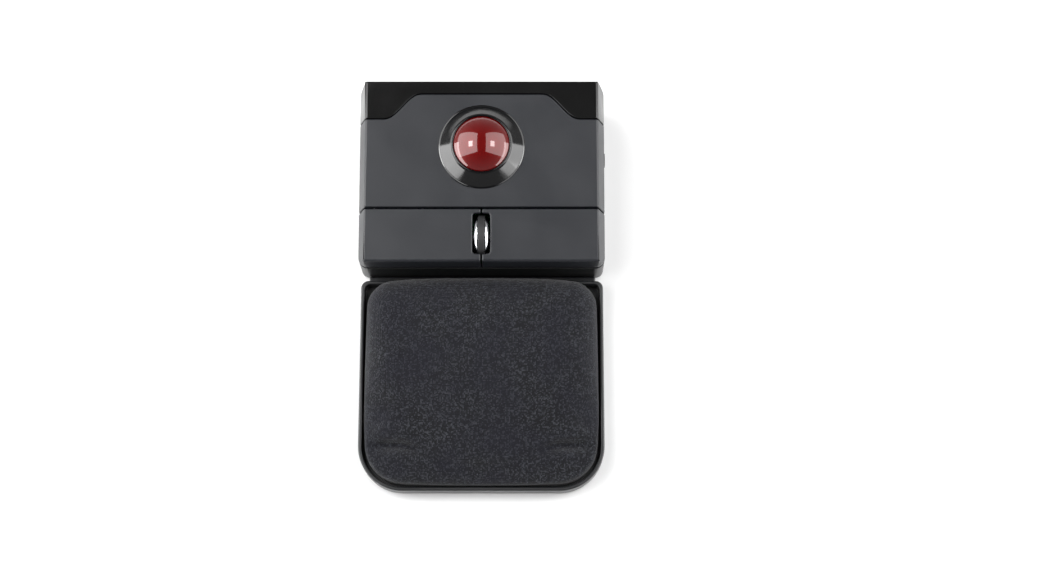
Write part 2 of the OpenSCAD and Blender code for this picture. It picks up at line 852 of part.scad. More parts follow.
module wheel_bracket() {
    x = cheek_x + cheek_t + bracket_gap;
    l = carrier_l / 2 + bracket_gap;
    top = wheel_z - axle_r - press - 1.1;
    color(soft_black) translate([0, wheel_y, 0]) difference() {
        union() {
            for (s = [-1, 1]) mirror([s < 0 ? 1 : 0, 0, 0]) {
                box(x, x + bracket_t, -l - 0.8, l + 0.8, board_top, top);
                for (e = [-1, 1]) mirror([0, e < 0 ? 1 : 0, 0])
                    box(x - 1, x + 0.1, l, l + 0.8, board_top, top);
            }
            box(-x - 0.1, x + 0.1, -l - 0.8, l + 0.8, board_top, board_top + 0.8);
        }
        box(-tact_w / 2 - 0.2, tact_w / 2 + 0.2, -tact_w / 2 - 0.2, tact_w / 2 + 0.2,
            board_top - 1, board_top + 2);
    }
}

module encoder_optics() {
    color(gloss_black) for (x = [disc_x - 2.6, disc_x + disc_t + 1])
        box(x, x + 2, wheel_y - 0.5, wheel_y + 2.1, board_top, wheel_z - axle_r - press - 0.15);
}

// ---- switches ----

module tact_plunger_top() {
    translate([0, 0, board_top + tact_h]) children();
}

module wheel_switch_case() {
    color(steel) translate([0, wheel_y, 0]) difference() {
        box(-tact_w / 2, tact_w / 2, -tact_w / 2, tact_w / 2, board_top, board_top + tact_h);
        translate([0, 0, board_top + 1.2]) cylinder(r = tact_plunger_r + 0.08, h = 4);
    }
}

module wheel_switch_plunger() {
    low = board_top + 1.2 + press + 0.1;
    color(soft_black) translate([0, wheel_y, low])
        cylinder(r = tact_plunger_r, h = carrier_z - 0.05 - low);
}

module switch_case(x) {
    hole = plunger_w / 2 + 0.08;
    translate([x, switch_y, 0]) difference() {
        box(-switch_l / 2, switch_l / 2, -switch_w / 2, switch_w / 2, board_top,
            board_top + switch_h);
        box(-hole, hole, -hole - 0.5, hole + 0.5, board_top + switch_h - plunger_len,
            board_top + switch_h + 1);
        for (s = [-1, 1]) translate([s * switch_l * 0.38, 0, board_top + 1.6])
            rotate([90, 0, 0]) cylinder(r = 0.9, h = 10, center = true);
    }
}

module switch_plunger(x) {
    translate([x, switch_y, board_top + switch_h - plunger_len + 0.8])
        translate([-plunger_w / 2, -plunger_w / 2 - 0.5, 0])
            cube([plunger_w, plunger_w + 1, plunger_len - 0.8 + plunger_up]);
}

module left_switch_case() { color(soft_black) switch_case(left_switch_x); }

module left_switch_plunger() { color(ball_red) switch_plunger(left_switch_x); }

module right_switch_case() { color(soft_black) switch_case(right_switch_x); }

module right_switch_plunger() { color(ball_red) switch_plunger(right_switch_x); }

module side_button() {
    x0 = body_w / 2 - wall;
    color(gloss_black) translate([0, side_y, side_z]) rotate([90, 0, 90]) union() {
        translate([0, 0, x0 - 0.6]) linear_extrude(wall + 0.6 + side_proud)
            rounded_rect(side_l, side_hgt, side_hgt / 2 - 0.01);
        translate([0, 0, x0 - 0.9]) linear_extrude(0.8 - side_clear)
            rounded_rect(side_l + 2, side_hgt + 1.6, 1.2);
    }
}

module side_switch_case() {
    x1 = body_w / 2 - wall - 1.6 - side_travel;
    color(steel) difference() {
        box(x1 - 3.2, x1, side_y - 3, side_y + 3, board_top, side_z + 2.6);
        translate([x1 - 1.6, side_y, side_z]) rotate([0, 90, 0])
            cylinder(r = tact_plunger_r + 0.08, h = 5);
    }
}

module side_switch_plunger() {
    x1 = body_w / 2 - wall - 0.95;
    color(soft_black) translate([x1 - 1.9, side_y, side_z]) rotate([0, 90, 0])
        cylinder(r = tact_plunger_r, h = 1.9);
}

// ---- main board ----

module main_board() {
    color(board_green) difference() {
        translate([0, 0, board_z]) linear_extrude(board_t) {
            translate([board_left, board_front])
                square([board_side - board_left, board_rear - board_front]);
            translate([-board_tail_w / 2, board_front])
                square([board_tail_w, front + board_tail_l - board_front]);
        }
        for (p = boss_places) translate([p[0], p[1], board_z - 1])
            cylinder(r = boss_r + 0.5, h = board_t + 2);
        for (p = board_screw_places) translate([p[0], p[1], board_z - 1])
            cylinder(r = screw_r + 0.2, h = board_t + 2);
        translate([0, ball_y, board_z - 1]) cylinder(r = 1.2, h = board_t + 2);
    }
}

module board_screws() {
    color(steel) for (p = board_screw_places) translate([p[0], p[1], board_top + head_h])
        rotate([180, 0, 0]) pan_screw(board_t + head_h + board_z - floor_top);
}

module board_chips() {
    color(soft_black) {
        box(22, 30, front + 14, front + 22, board_top, board_top + 1.1);
        box(20, 25, front + 30, front + 35, board_top, board_top + 0.9);
        box(10, 14, front + 20.6, front + 22.4, board_top, board_top + 3);
    }
}

module motion_sensor() {
    color(soft_black) difference() {
        box(-4.6, 4.6, ball_y - 3.5, ball_y + 3.5, board_top, board_top + sensor_h);
        translate([0, ball_y, board_top + 1]) cylinder(r = 0.8, h = 2);
    }
}

module sensor_lens() {
    color([0.8, 0.85, 0.9]) translate([0, ball_y, board_top + sensor_h]) union() {
        cylinder(r = 3.2, h = lens_h * 0.5);
        cylinder(r = 1.8, h = lens_h);
    }
}

// ---- battery ----

module battery_cell() {
    color(steel) translate([cell_x, cell_y, cell_z]) rotate([-90, 0, 0]) union() {
        cylinder(r = cell_d / 2, h = cell_l - nub_l);
        cylinder(r = 2.7, h = cell_l);
    }
}

// A round wire swept along a conical coil
module battery_spring() {
    turns = 3;
    wire = 0.35;
    sides = 6;
    rings = 54;
    l = cell_y - front - wall - 2 * wire - 0.1;
    path = [for (i = [0 : rings]) let (t = i / rings, a = 360 * turns * t, r = 4.6 - 1.8 * t)
            [r * cos(a), r * sin(a), wire + 0.04 + l * t]];
    points = [for (i = [0 : rings]) let (a = 360 * turns * i / rings)
              for (k = [0 : sides - 1]) let (b = 360 * k / sides)
              path[i] + wire * [cos(b) * cos(a), cos(b) * sin(a), sin(b)]];
    faces = concat([[for (k = [0 : sides - 1]) k]],
        [for (i = [0 : rings - 1], k = [0 : sides - 1]) let (n = (k + 1) % sides)
         [i * sides + k, (i + 1) * sides + k, (i + 1) * sides + n, i * sides + n]],
        [[for (k = [sides - 1 : -1 : 0]) rings * sides + k]]);
    color(steel) translate([cell_x, front + wall, cell_z]) rotate([-90, 0, 0])
        polyhedron(points, faces);
}

module battery_plate() {
    color(steel) box(cell_x - 4, cell_x + 4, plate_y, plate_y + contact_t, cell_z - 4, cell_z + 4);
}

module battery_door() {
    color(dark_grey) difference() {
        union() {
            box(cell_x - door_w / 2, cell_x + door_w / 2, door_y, door_axis_y, base_z,
                base_z + door_t);
            translate([cell_x, door_axis_y, door_axis_z]) rotate([0, 90, 0]) {
                cylinder(r = door_t / 2, h = door_w, center = true);
                cylinder(r = pin_r, h = door_w + 2 * pin_l, center = true);
            }
            box(cell_x - 4, cell_x + 4, door_y + 0.6, door_y + 1.6, base_z, floor_top - 0.1);
        }
        translate([cell_x, cell_y + cell_l / 2, cell_z]) rotate([90, 0, 0])
            cylinder(r = cell_d / 2 + 0.3, h = cell_l + 5, center = true);
        for (i = [0 : 3]) box(cell_x - 5, cell_x + 5, door_y + 4 + 1.6 * i,
            door_y + 4.8 + 1.6 * i, base_z - 1, base_z + 0.4);
    }
}

module power_switch_case() {
    color(steel) difference() {
        box(-4.5, 7.5, power_y - 2.4, power_y + 2.4, floor_top + 0.05, board_z);
        box(-1.1, 1.1 + power_travel, power_y - 1.1, power_y + 1.1, floor_top, board_z - 0.15);
    }
}

module power_slider() {
    color(steel) union() {
        box(-knob_w / 2, knob_w / 2, power_y - knob_l / 2, power_y + knob_l / 2, base_z + 0.2,
            floor_top - 0.05);
        box(-0.9, 0.9, power_y - 0.9, power_y + 0.9, floor_top - 0.1, board_z - 0.25);
    }
}

module body_feet() {
    color(soft_black) foot_places() foot_shape(0, base_z + foot_seat - 0.02);
}

module case_screws() {
    color(steel) for (p = boss_places) translate([p[0], p[1], base_z + 3 - head_h])
        pan_screw(10);
}

// ---- receiver ----

module at_receiver() {
    translate([receiver_x, cap_face, receiver_z]) children();
}

module receiver_cap() {
    r = 1.2;
    color(gloss_black) at_receiver() difference() {
        rotate([-90, 0, 0]) linear_extrude(cap_l) rounded_rect(cap_w, cap_h, r);
        box(-plug_w / 2 - 0.02, plug_w / 2 + 0.02, -1, plug_tail, -plug_h / 2 - 0.02,
            plug_h / 2 + 0.02);
        box(-5, 5, 0, cap_l - 1.2, -1.9, 1.9);
        for (s = [-1, 1], i = [0 : 2])
            translate([s * (cap_w / 2 + 0.25), 1.6 + 1.8 * i, 0]) cylinder(r = 0.6, h = 10, center = true);
    }
}

module receiver_plug() {
    color(steel) at_receiver() difference() {
        box(-plug_w / 2, plug_w / 2, -plug_l, plug_tail - 0.05, -plug_h / 2, plug_h / 2);
        box(-plug_w / 2 + plug_t, plug_w / 2 - plug_t, -plug_l - 1, plug_tail + 1,
            -plug_h / 2 + plug_t, plug_h / 2 - plug_t);
        for (x = [-3, 3]) box(x - 1.2, x + 1.2, -plug_l + 5.5, -plug_l + 7.6, -5, 5);
        for (x = [-2.2, 2.2]) {
            box(x - 0.3, x + 0.3, -2.6, 0.2, 0, 5);
            box(min(x, 1.35 * x), max(x, 1.35 * x), -2.9, -2.3, 0, 5);
        }
    }
}

module receiver_tongue() {
    low = -plug_h / 2 + plug_t + 0.02;
    color(soft_black) at_receiver()
        box(-plug_w / 2 + plug_t + 0.1, plug_w / 2 - plug_t - 0.1, -plug_l + 0.3, 1, low, low + 1.8);
}

module receiver_contacts() {
    low = -plug_h / 2 + plug_t + 1.84;
    color(gold) at_receiver() for (x = [-3.5, -1, 1, 3.5])
        box(x - 0.5, x + 0.5, -plug_l + 1.2, -plug_l + 9.2, low, low + 0.15);
}

module receiver_board() {
    color(board_green) at_receiver()
        box(-4.8, 4.8, 1.05, cap_l - 1.4, -0.5, 0.4);
}

// ---- wrist rest ----

module rest_plan(inset, rear_r, front_r) {
    translate([0, rest_mid]) rest_outline(inset, rear_r, front_r);
}

module rest_foot_places() {
    for (s = [-1, 1]) {
        translate([s * (rest_w / 2 - 12), rest_rear - 6, 0]) children();
        translate([s * (rest_w / 2 - 17), rest_front + 5.5, 0]) children();
    }
}

module rest_screw_places() {
    for (s = [-1, 1], y = [rest_rear - 14, rest_front + 16])
        translate([s * rest_screw_x, y, 0]) children();
}

module rest_tray() {
    color(dark_grey) difference() {
        union() {
            difference() {
                translate([0, 0, base_z]) linear_extrude(rim_h - base_z)
                    rest_plan(0, rest_rear_r, rest_front_r);
                translate([0, 0, base_z + tray_floor]) linear_extrude(slack)
                    rest_plan(rim_t, rest_rear_r - rim_t / 2, rest_front_r - rim_t);
            }
            tongue_shape(0, rest_rear - 0.5, front + tongue_in);
            box(rest_rear_r - rest_w / 2, rest_w / 2 - rest_rear_r, rest_rear - 0.5, front - 0.15,
                base_z, base_z + bridge_t);
        }
        rest_foot_places() translate([0, 0, base_z - 1]) foot_shape(0.1, 1 + foot_seat);
        rest_screw_places() translate([0, 0, base_z - 1]) {
            cylinder(r = screw_r + 0.2, h = 9);
            cylinder(r = head_r + 0.2, h = 2.1);
        }
    }
}

module rest_board() {
    color(soft_black) difference() {
        translate([0, 0, base_z + tray_floor + 0.02]) linear_extrude(board_plate_t - 0.04)
            rest_plan(pad_inset + fabric_t + 0.4, pad_rear_r - fabric_t, rest_front_r - pad_inset);
        rest_screw_places() translate([0, 0, base_z]) cylinder(r = screw_r + screw_hole, h = 9);
    }
}

// The pad is built from rings: one outline, shrunk step by step towards its middle.
pad_w = rest_w - 2 * pad_inset;
pad_l = rest_l - 2 * pad_inset;
pad_front_r = rest_front_r - pad_inset;
pad_over = rim_h + 0.3;
pad_border = rim_h + 2;
lip_rise = 3.2;
round_off = 11;
crease_depth = 0.9;
pad_bow = 2.6;
pad_steps = [0.14, 0.34, 0.52, 0.64, 0.71, 0.77, 0.83, 0.89, 0.94, 0.975, 0.993, 1];

function arc_points(cx, cy, r, a0) = [for (i = [0 : 5]) let (a = a0 + 18 * i)
    [cx + r * cos(a), cy + r * sin(a)]];
function run(p, q, n) = [for (i = [1 : n]) p + (q - p) * i / (n + 1)];
function pad_half() = let (w = pad_w / 2, l = pad_l / 2, f = pad_front_r, r = pad_rear_r) concat(
    run([0, -l], [w - f, -l], 4), arc_points(w - f, f - l, f, -90), run([w, f - l], [w, l - r], 9),
    arc_points(w - r, l - r, r, 0), run([w - r, l], [0, l], 6));
function pad_outline() = let (h = pad_half()) concat([[0, -pad_l / 2]], h, [[0, pad_l / 2]],
    [for (i = [len(h) - 1 : -1 : 0]) [-h[i][0], h[i][1]]]);

// Height of the pad's surface: a crown at the back, a crease and a low lip in front
function crease_y(x) = -pad_l / 2 + 9.5 + 5.5 * pow(2 * x / pad_w, 2);
function crown(x, y) = let (c = crease_y(x), t = (y - c) / 30)
    pad_border + lip_rise + (pad_h - pad_border - lip_rise) * smooth(t) * (0.9 + 0.1 * cos(
    90 * min(1, abs(2 * x / pad_w)))) - crease_depth * exp(-pow((y - c) / 2.2, 2));
function shoulder(t) = let (d = min(1, (1 - t) * pad_w / 2 / round_off)) sqrt(1 - pow(1 - d, 2));
// The back edge swells over the rim of the tray, most of all in the middle
function bow(x, y) = y < 0 ? 0
    : pad_bow * pow(2 * y / pad_l, 8) * max(0, 1 - pow(2 * x / pad_w, 4));
function pad_ring(t, inset, swell = 1, loose = 0) = [for (p = pad_outline())
    let (k = t * (1 - 2 * inset / pad_w), x = p[0] * t, y = p[1] * t, s = shoulder(t),
        z = pad_border + (crown(x, y) - pad_border) * s - inset * s + loose * (1 - 2.6 * s))
    [p[0] * k, rest_mid + p[1] * k + swell * bow(x, y), z]];
function flat_ring(inset, z) = [for (p = pad_ring(1, inset, 0)) [p[0], p[1], z]];
function reversed(v) = [for (i = [len(v) - 1 : -1 : 0]) v[i]];

// Closes a stack of rings into a solid, with a cap about the middle of each end
module ring_solid(rings) {
    n = len(rings[0]);
    m = len(rings);
    mid_z = [for (r = [rings[0], rings[m - 1]]) (r[0][2] + r[ceil(n / 2)][2]) / 2];
    points = concat([for (r = rings) for (p = r) p], [for (z = mid_z) [0, rest_mid, z]]);
    sides = [for (j = [0 : m - 2], i = [0 : n - 1]) let (a = j * n + i, b = j * n + (i + 1) % n)
        for (t = [0, 1]) t == 0 ? [a, b + n, b] : [a, a + n, b + n]];
    first = [for (i = [0 : n - 1]) [n * m, i, (i + 1) % n]];
    last = [for (i = [0 : n - 1]) [n * m + 1, (m - 1) * n + (i + 1) % n, (m - 1) * n + i]];
    polyhedron(points, concat(sides, first, last));
}

module foam_core() {
    inset = fabric_t + 0.15;
    color([0.5, 0.5, 0.5]) ring_solid(reversed(concat(
        [for (t = pad_steps) pad_ring(t, inset, 1, 0.26)],
        [flat_ring(inset, pad_over + inset + 0.3), flat_ring(inset, pad_z + 0.02)])));
}

module pad_cover() {
    low = base_z + tray_floor + 0.02;
    color([0.16, 0.16, 0.18]) ring_solid(reversed(concat(
        [for (t = pad_steps) pad_ring(t, 0)],
        [flat_ring(0, pad_over), flat_ring(0, low), flat_ring(fabric_t, low),
        flat_ring(fabric_t, pad_over + fabric_t)],
        [for (t = reversed(pad_steps)) pad_ring(t, fabric_t)])));
}

module rest_feet() {
    color(soft_black) rest_foot_places() foot_shape(0, base_z + foot_seat - 0.02);
}

module rest_screws() {
    color(steel) rest_screw_places() translate([0, 0, base_z + 1.08 - head_h])
        pan_screw(3.9);
}

bottom_shell();
top_cover();
rear_trim();
retaining_ring();
ball_core();
ball_coat();
ball_cup();
cup_bearings();
cup_screws();
left_button();
right_button();
button_pivot_rod();
wheel_tyre();
wheel_hub();
wheel_axle();
encoder_disc();
wheel_carrier();
wheel_bracket();
encoder_optics();
wheel_switch_case();
wheel_switch_plunger();
left_switch_case();
left_switch_plunger();
right_switch_case();
right_switch_plunger();
side_button();
side_switch_case();
side_switch_plunger();
main_board();
board_chips();
board_screws();
motion_sensor();
sensor_lens();
battery_cell();
battery_spring();
battery_plate();
battery_door();
power_switch_case();
power_slider();
body_feet();
case_screws();
rest_tray();
rest_board();
foam_core();
pad_cover();
rest_feet();
rest_screws();
receiver_plug();
receiver_cap();
receiver_tongue();
receiver_contacts();
receiver_board();
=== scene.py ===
# %% [markdown]
# # A trackball mouse with a padded wrist rest
#
# The mouse is a low box of dark satin plastic with a gloss black rear, a red ball in a black
# bevelled ring, two wide buttons and a scroll wheel. A fabric pad in a shallow tray slides on in
# front. The solids come in as a fixed frame; this script gives them edges, finishes and light.

# %% Load the frame
import json
import math

import bmesh
import bpy
from mathutils import Matrix, Vector


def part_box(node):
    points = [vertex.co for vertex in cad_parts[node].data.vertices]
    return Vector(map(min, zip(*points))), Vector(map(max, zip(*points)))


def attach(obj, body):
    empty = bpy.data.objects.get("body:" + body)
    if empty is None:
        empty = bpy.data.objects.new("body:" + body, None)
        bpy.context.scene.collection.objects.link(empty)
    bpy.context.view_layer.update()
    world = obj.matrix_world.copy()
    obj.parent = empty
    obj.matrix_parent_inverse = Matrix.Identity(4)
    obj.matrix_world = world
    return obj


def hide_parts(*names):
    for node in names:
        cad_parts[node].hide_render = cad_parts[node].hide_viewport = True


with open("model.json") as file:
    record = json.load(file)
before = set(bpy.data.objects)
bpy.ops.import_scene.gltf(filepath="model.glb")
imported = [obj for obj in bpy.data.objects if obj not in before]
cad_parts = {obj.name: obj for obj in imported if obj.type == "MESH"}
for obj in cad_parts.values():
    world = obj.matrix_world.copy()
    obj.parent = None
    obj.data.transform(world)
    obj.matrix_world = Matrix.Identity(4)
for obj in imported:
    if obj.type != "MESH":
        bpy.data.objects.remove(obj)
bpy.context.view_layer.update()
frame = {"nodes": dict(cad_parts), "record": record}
bodies = frame["record"]["behaviour"]["bodies"]
body_of = {node: body for body, nodes in bodies.items() for node in nodes}
slots = {s["node"]: s["material_slot"] for s in frame["record"]["subparts"]}
mm = 0.001

# %% [markdown]
# ## Helpers
#
# Every tree, for a finish or for a shape, is built with one function that adds a node, sets it
# and links it. Sizes are written in millimetres and multiplied by `mm`.


# %% One function to add a node
def add(tree, kind, inputs=None, **settings):
    """Adds a node. Settings are its properties; inputs are values or the sockets to link."""
    node = tree.nodes.new(kind)
    for name, value in settings.items():
        setattr(node, name, value)
    for socket, value in (inputs or {}).items():
        if isinstance(value, bpy.types.NodeSocket):
            tree.links.new(value, node.inputs[socket])
        else:
            node.inputs[socket].default_value = value
    return node


def linear(colour):
    """An sRGB hex colour as the linear colour that a socket takes."""
    parts = [int(colour[i : i + 2], 16) / 255 for i in (1, 3, 5)]
    return [c / 12.92 if c <= 0.04045 else ((c + 0.055) / 1.055) ** 2.4 for c in parts] + [1.0]


def per(size_mm):
    """The texture scale that makes one feature as long as that."""
    return 1 / (size_mm * mm)


print("a mid grey is", [round(c, 3) for c in linear("#808080")[:3]])

# %% [markdown]
# ## Camera, floor and light
#
# The view is from above and a little in front, with a long lens, so the sides almost vanish.
# The table is white and brighter than the film can hold. Softboxes hang left and right of the
# mouse, with a white board under each; the ceiling between them is dim, which keeps the gloss
# parts black.

# %% Camera
camera_data = bpy.data.cameras.new("Camera")
camera_data.sensor_width = 36
camera_data.lens = 66.5
camera_data.clip_start = 0.01
camera = bpy.data.objects.new("Camera", camera_data)
bpy.context.scene.collection.objects.link(camera)
look_down = math.radians(14)
look_at = Vector((14.1 * mm, 2.4 * mm, 0))
away = 0.659
camera.location = look_at + away * Vector((0, -math.sin(look_down), math.cos(look_down)))
camera.rotation_euler = (look_down, 0, 0)
bpy.context.scene.camera = camera
print("camera at", [round(v, 4) for v in camera.location])


# %% Floor
def new_finish(name):
    """A material with its tree, its main shader and Object coordinates."""
    material = bpy.data.materials.new(name)
    material.use_nodes = True
    tree = material.node_tree
    place = add(tree, "ShaderNodeTexCoord").outputs["Object"]
    return material, tree, tree.nodes["Principled BSDF"], place


def table_top():
    """White laminate: plain, matt, with a trace of unevenness."""
    material, tree, shader, place = new_finish("white laminate")
    cloud = add(tree, "ShaderNodeTexNoise", {"Vector": place, "Scale": per(400), "Detail": 2})
    tone = add(tree, "ShaderNodeMix", {0: cloud.outputs[0], 6: linear("#e9e9e9"),
                                       7: linear("#eeeeee")}, data_type="RGBA")
    tree.links.new(tone.outputs[2], shader.inputs["Base Color"])
    shader.inputs["Roughness"].default_value = 0.6
    return material


floor_mesh = bpy.data.meshes.new("table")
floor_mesh.from_pydata([(-3, -3, 0), (3, -3, 0), (3, 3, 0), (-3, 3, 0)], [], [(0, 1, 2, 3)])
floor = bpy.data.objects.new("table", floor_mesh)
floor.data.materials.append(table_top())
bpy.context.scene.collection.objects.link(floor)
print("floor", floor.dimensions[:2])


# %% Softboxes and ceiling
def panel(name, place, width, depth, glow):
    """A rectangular area light that faces along its own -Z and glows evenly."""
    data = bpy.data.lights.new(name, "AREA")
    data.shape = "RECTANGLE"
    data.size = width
    data.size_y = depth
    data.energy = glow * math.pi * width * depth
    light = bpy.data.objects.new(name, data)
    light.matrix_world = place
    light.visible_camera = False
    bpy.context.scene.collection.objects.link(light)
    return light


def leaned(degrees, away, forward):
    """A place that far from the mouse, leaned from the vertical about Y, facing the mouse."""
    turn = Matrix.Rotation(math.radians(degrees), 4, "Y")
    return Matrix.Translation((0, forward, 0.02)) @ turn @ Matrix.Translation((0, 0, away))


# Each side has a softbox, the brighter middle that its lamp gives it, and a low white board
# that lights the bevel of the ring. The left side glows a little more than the right.
for side, name, glow in ((-1, "left", 3.3), (1, "right", 2.6)):
    panel(name + " softbox", leaned(side * 46, 0.62, 0.155), 0.8, 0.8, glow)
    panel(name + " lamp", leaned(side * 33, 0.6, 0.09), 0.13, 0.17, 3.2 * glow)
    panel(name + " board", leaned(side * 82, 0.9, -0.36), 0.3, 1.3, 1.7 * glow)
bpy.context.scene.view_settings.view_transform = "Standard"

world = bpy.data.worlds.new("studio")
world.use_nodes = True
bpy.context.scene.world = world
ceiling = world.node_tree
height = add(ceiling, "ShaderNodeSeparateXYZ",
             {0: add(ceiling, "ShaderNodeTexCoord").outputs["Generated"]}).outputs["Z"]
fade = add(ceiling, "ShaderNodeMapRange", {0: height, 1: 0.0, 2: 0.9, 3: 0.42, 4: 0.08})
ceiling.links.new(fade.outputs[0], ceiling.nodes["Background"].inputs["Strength"])
ceiling.nodes["Background"].inputs["Color"].default_value = (1, 1, 1, 1)

# %% [markdown]
# ## Finishes
#
# Most of the mouse is injection moulded ABS. A steel mould is etched, and the plastic copies the
# etching as a fine grain, so the same plastic can come out satin or as gloss as glass.


# %% Moulded plastic
def moulded(name, dark, light, roughness, grain_mm, depth_mm, coat=0.0):
    """ABS from a mould: two near shades, an even grain and slightly uneven gloss."""
    material, tree, shader, place = new_finish(name)
    flow = add(tree, "ShaderNodeTexNoise", {"Vector": place, "Scale": per(14), "Detail": 4})
    tone = add(tree, "ShaderNodeMix", {0: flow.outputs[0], 6: linear(dark), 7: linear(light)},
               data_type="RGBA")
    gloss = add(tree, "ShaderNodeMapRange", {0: flow.outputs[0], 1: 0.3, 2: 0.7,
                                             3: roughness - 0.03, 4: roughness + 0.03})
    grain = add(tree, "ShaderNodeTexNoise", {"Vector": place, "Scale": per(grain_mm),
                                             "Detail": 2})
    relief = add(tree, "ShaderNodeBump", {"Height": grain.outputs[0], "Strength": 1.0,
                                          "Distance": depth_mm * mm})
    tree.links.new(tone.outputs[2], shader.inputs["Base Color"])
    tree.links.new(gloss.outputs[0], shader.inputs["Roughness"])
    tree.links.new(relief.outputs[0], shader.inputs["Normal"])
    shader.inputs["IOR"].default_value = 1.53
    shader.inputs["Coat Weight"].default_value = coat
    shader.inputs["Coat Roughness"].default_value = 0.04
    return material


# Satin ABS of the covers: the grain is about a tenth of a millimetre.
cover_abs = moulded("satin ABS", "#13151a", "#191b20", 0.38, 0.12, 0.003)
shell_abs = moulded("textured ABS", "#0f1011", "#141516", 0.36, 0.15, 0.006)
# Piano black ABS: a polished mould leaves no grain, only long faint waves.
gloss_abs = moulded("polished black ABS", "#0d0d0d", "#121212", 0.12, 9, 0.003)
tray_abs = moulded("semi-gloss ABS", "#121315", "#18191b", 0.34, 0.2, 0.004)
inner_abs = moulded("plain black ABS", "#121213", "#181819", 0.55, 0.3, 0.01)
red_abs = moulded("red ABS", "#7a0f12", "#8c1418", 0.35, 0.3, 0.005)
wrap_pvc = moulded("shrink-wrapped PVC", "#4b4d52", "#5c5e63", 0.3, 6, 0.02)
# The ring has a thin clear lacquer as well, which makes its bevel mirror the light boards.
ring_abs = moulded("lacquered black ABS", "#020203", "#040405", 0.12, 9, 0.002, coat=0.25)
print("plastics:", cover_abs.name, gloss_abs.name, tray_abs.name)


# %% Metals
def metal(name, colour, roughness, scratch_mm, depth_mm):
    """Bare or plated metal with fine lines from rolling or turning."""
    material, tree, shader, place = new_finish(name)
    lines = add(tree, "ShaderNodeTexNoise", {"Vector": place, "Scale": per(scratch_mm),
                                             "Detail": 3, "Distortion": 0.4})
    gloss = add(tree, "ShaderNodeMapRange", {0: lines.outputs[0], 1: 0.3, 2: 0.7,
                                             3: roughness * 0.7, 4: roughness * 1.3})
    relief = add(tree, "ShaderNodeBump", {"Height": lines.outputs[0], "Strength": 1.0,
                                          "Distance": depth_mm * mm})
    tree.links.new(gloss.outputs[0], shader.inputs["Roughness"])
    tree.links.new(relief.outputs[0], shader.inputs["Normal"])
    shader.inputs["Base Color"].default_value = linear(colour)
    shader.inputs["Metallic"].default_value = 1.0
    return material


bright_nickel = metal("bright nickel plate", "#d8d6d0", 0.16, 0.8, 0.0008)
chrome = metal("chrome plate", "#dcdde0", 0.1, 2.0, 0.0006)
steel = metal("zinc plated steel", "#b9bcc0", 0.3, 0.5, 0.002)
gold = metal("gold flash", "#d9a94a", 0.25, 0.6, 0.001)
print("metals:", bright_nickel.name, chrome.name, steel.name, gold.name)


# %% Rubber, solder mask, lens and foam
def rubber():
    """Moulded silicone rubber: matt, with a dusty bloom."""
    material, tree, shader, place = new_finish("black silicone rubber")
    bloom = add(tree, "ShaderNodeTexNoise", {"Vector": place, "Scale": per(0.5), "Detail": 5})
    tone = add(tree, "ShaderNodeMix", {0: bloom.outputs[0], 6: linear("#141415"),
                                       7: linear("#232325")}, data_type="RGBA")
    relief = add(tree, "ShaderNodeBump", {"Height": bloom.outputs[0], "Strength": 1.0,
                                          "Distance": 0.015 * mm})
    tree.links.new(tone.outputs[2], shader.inputs["Base Color"])
    tree.links.new(relief.outputs[0], shader.inputs["Normal"])
    shader.inputs["Roughness"].default_value = 0.62
    return material


def solder_mask():
    """Green lacquer over laminate: the copper tracks show as paler green bands."""
    material, tree, shader, place = new_finish("green solder mask")
    tracks = add(tree, "ShaderNodeTexBrick", {"Vector": place, "Scale": per(3.2),
                                              "Mortar Size": 0.06, "Color1": linear("#0c3d20"),
                                              "Color2": linear("#0e4826"),
                                              "Mortar": linear("#2a7444")})
    relief = add(tree, "ShaderNodeBump", {"Height": tracks.outputs["Fac"], "Strength": 1.0,
                                          "Distance": 0.03 * mm})
    tree.links.new(tracks.outputs["Color"], shader.inputs["Base Color"])
    tree.links.new(relief.outputs[0], shader.inputs["Normal"])
    shader.inputs["Roughness"].default_value = 0.3
    return material


def lens_acrylic():
    """Clear acrylic, moulded and polished."""
    material, tree, shader, place = new_finish("clear acrylic")
    haze = add(tree, "ShaderNodeTexNoise", {"Vector": place, "Scale": per(2), "Detail": 2})
    gloss = add(tree, "ShaderNodeMapRange", {0: haze.outputs[0], 3: 0.03, 4: 0.09})
    tree.links.new(gloss.outputs[0], shader.inputs["Roughness"])
    shader.inputs["Base Color"].default_value = linear("#e4ecf2")
    shader.inputs["IOR"].default_value = 1.49
    shader.inputs["Transmission Weight"].default_value = 0.9
    return material


def open_foam():
    """Polyurethane foam with open cells of about a millimetre."""
    material, tree, shader, place = new_finish("grey polyurethane foam")
    cells = add(tree, "ShaderNodeTexVoronoi", {"Vector": place, "Scale": per(1.0)})
    # The grey darkens towards the middle of each cell, where the bump sinks it into a pore:
    # painted shade in the pores.
    tone = add(tree, "ShaderNodeMix", {0: cells.outputs["Distance"], 6: linear("#3a3a3c"),
                                       7: linear("#77777a")}, data_type="RGBA")
    relief = add(tree, "ShaderNodeBump", {"Height": cells.outputs["Distance"],
                                          "Strength": 1.0, "Distance": 0.3 * mm})
    tree.links.new(tone.outputs[2], shader.inputs["Base Color"])
    tree.links.new(relief.outputs[0], shader.inputs["Normal"])
    shader.inputs["Roughness"].default_value = 0.95
    return material


silicone = rubber()
board_lacquer = solder_mask()
acrylic = lens_acrylic()
foam = open_foam()
print("others:", silicone.name, board_lacquer.name, acrylic.name, foam.name)

# %% [markdown]
# ## Every solid gets its finish
#
# The record names one material slot for each solid. A table turns the slots into finishes, so a
# solid that stays hidden still looks right when the mouse is opened.

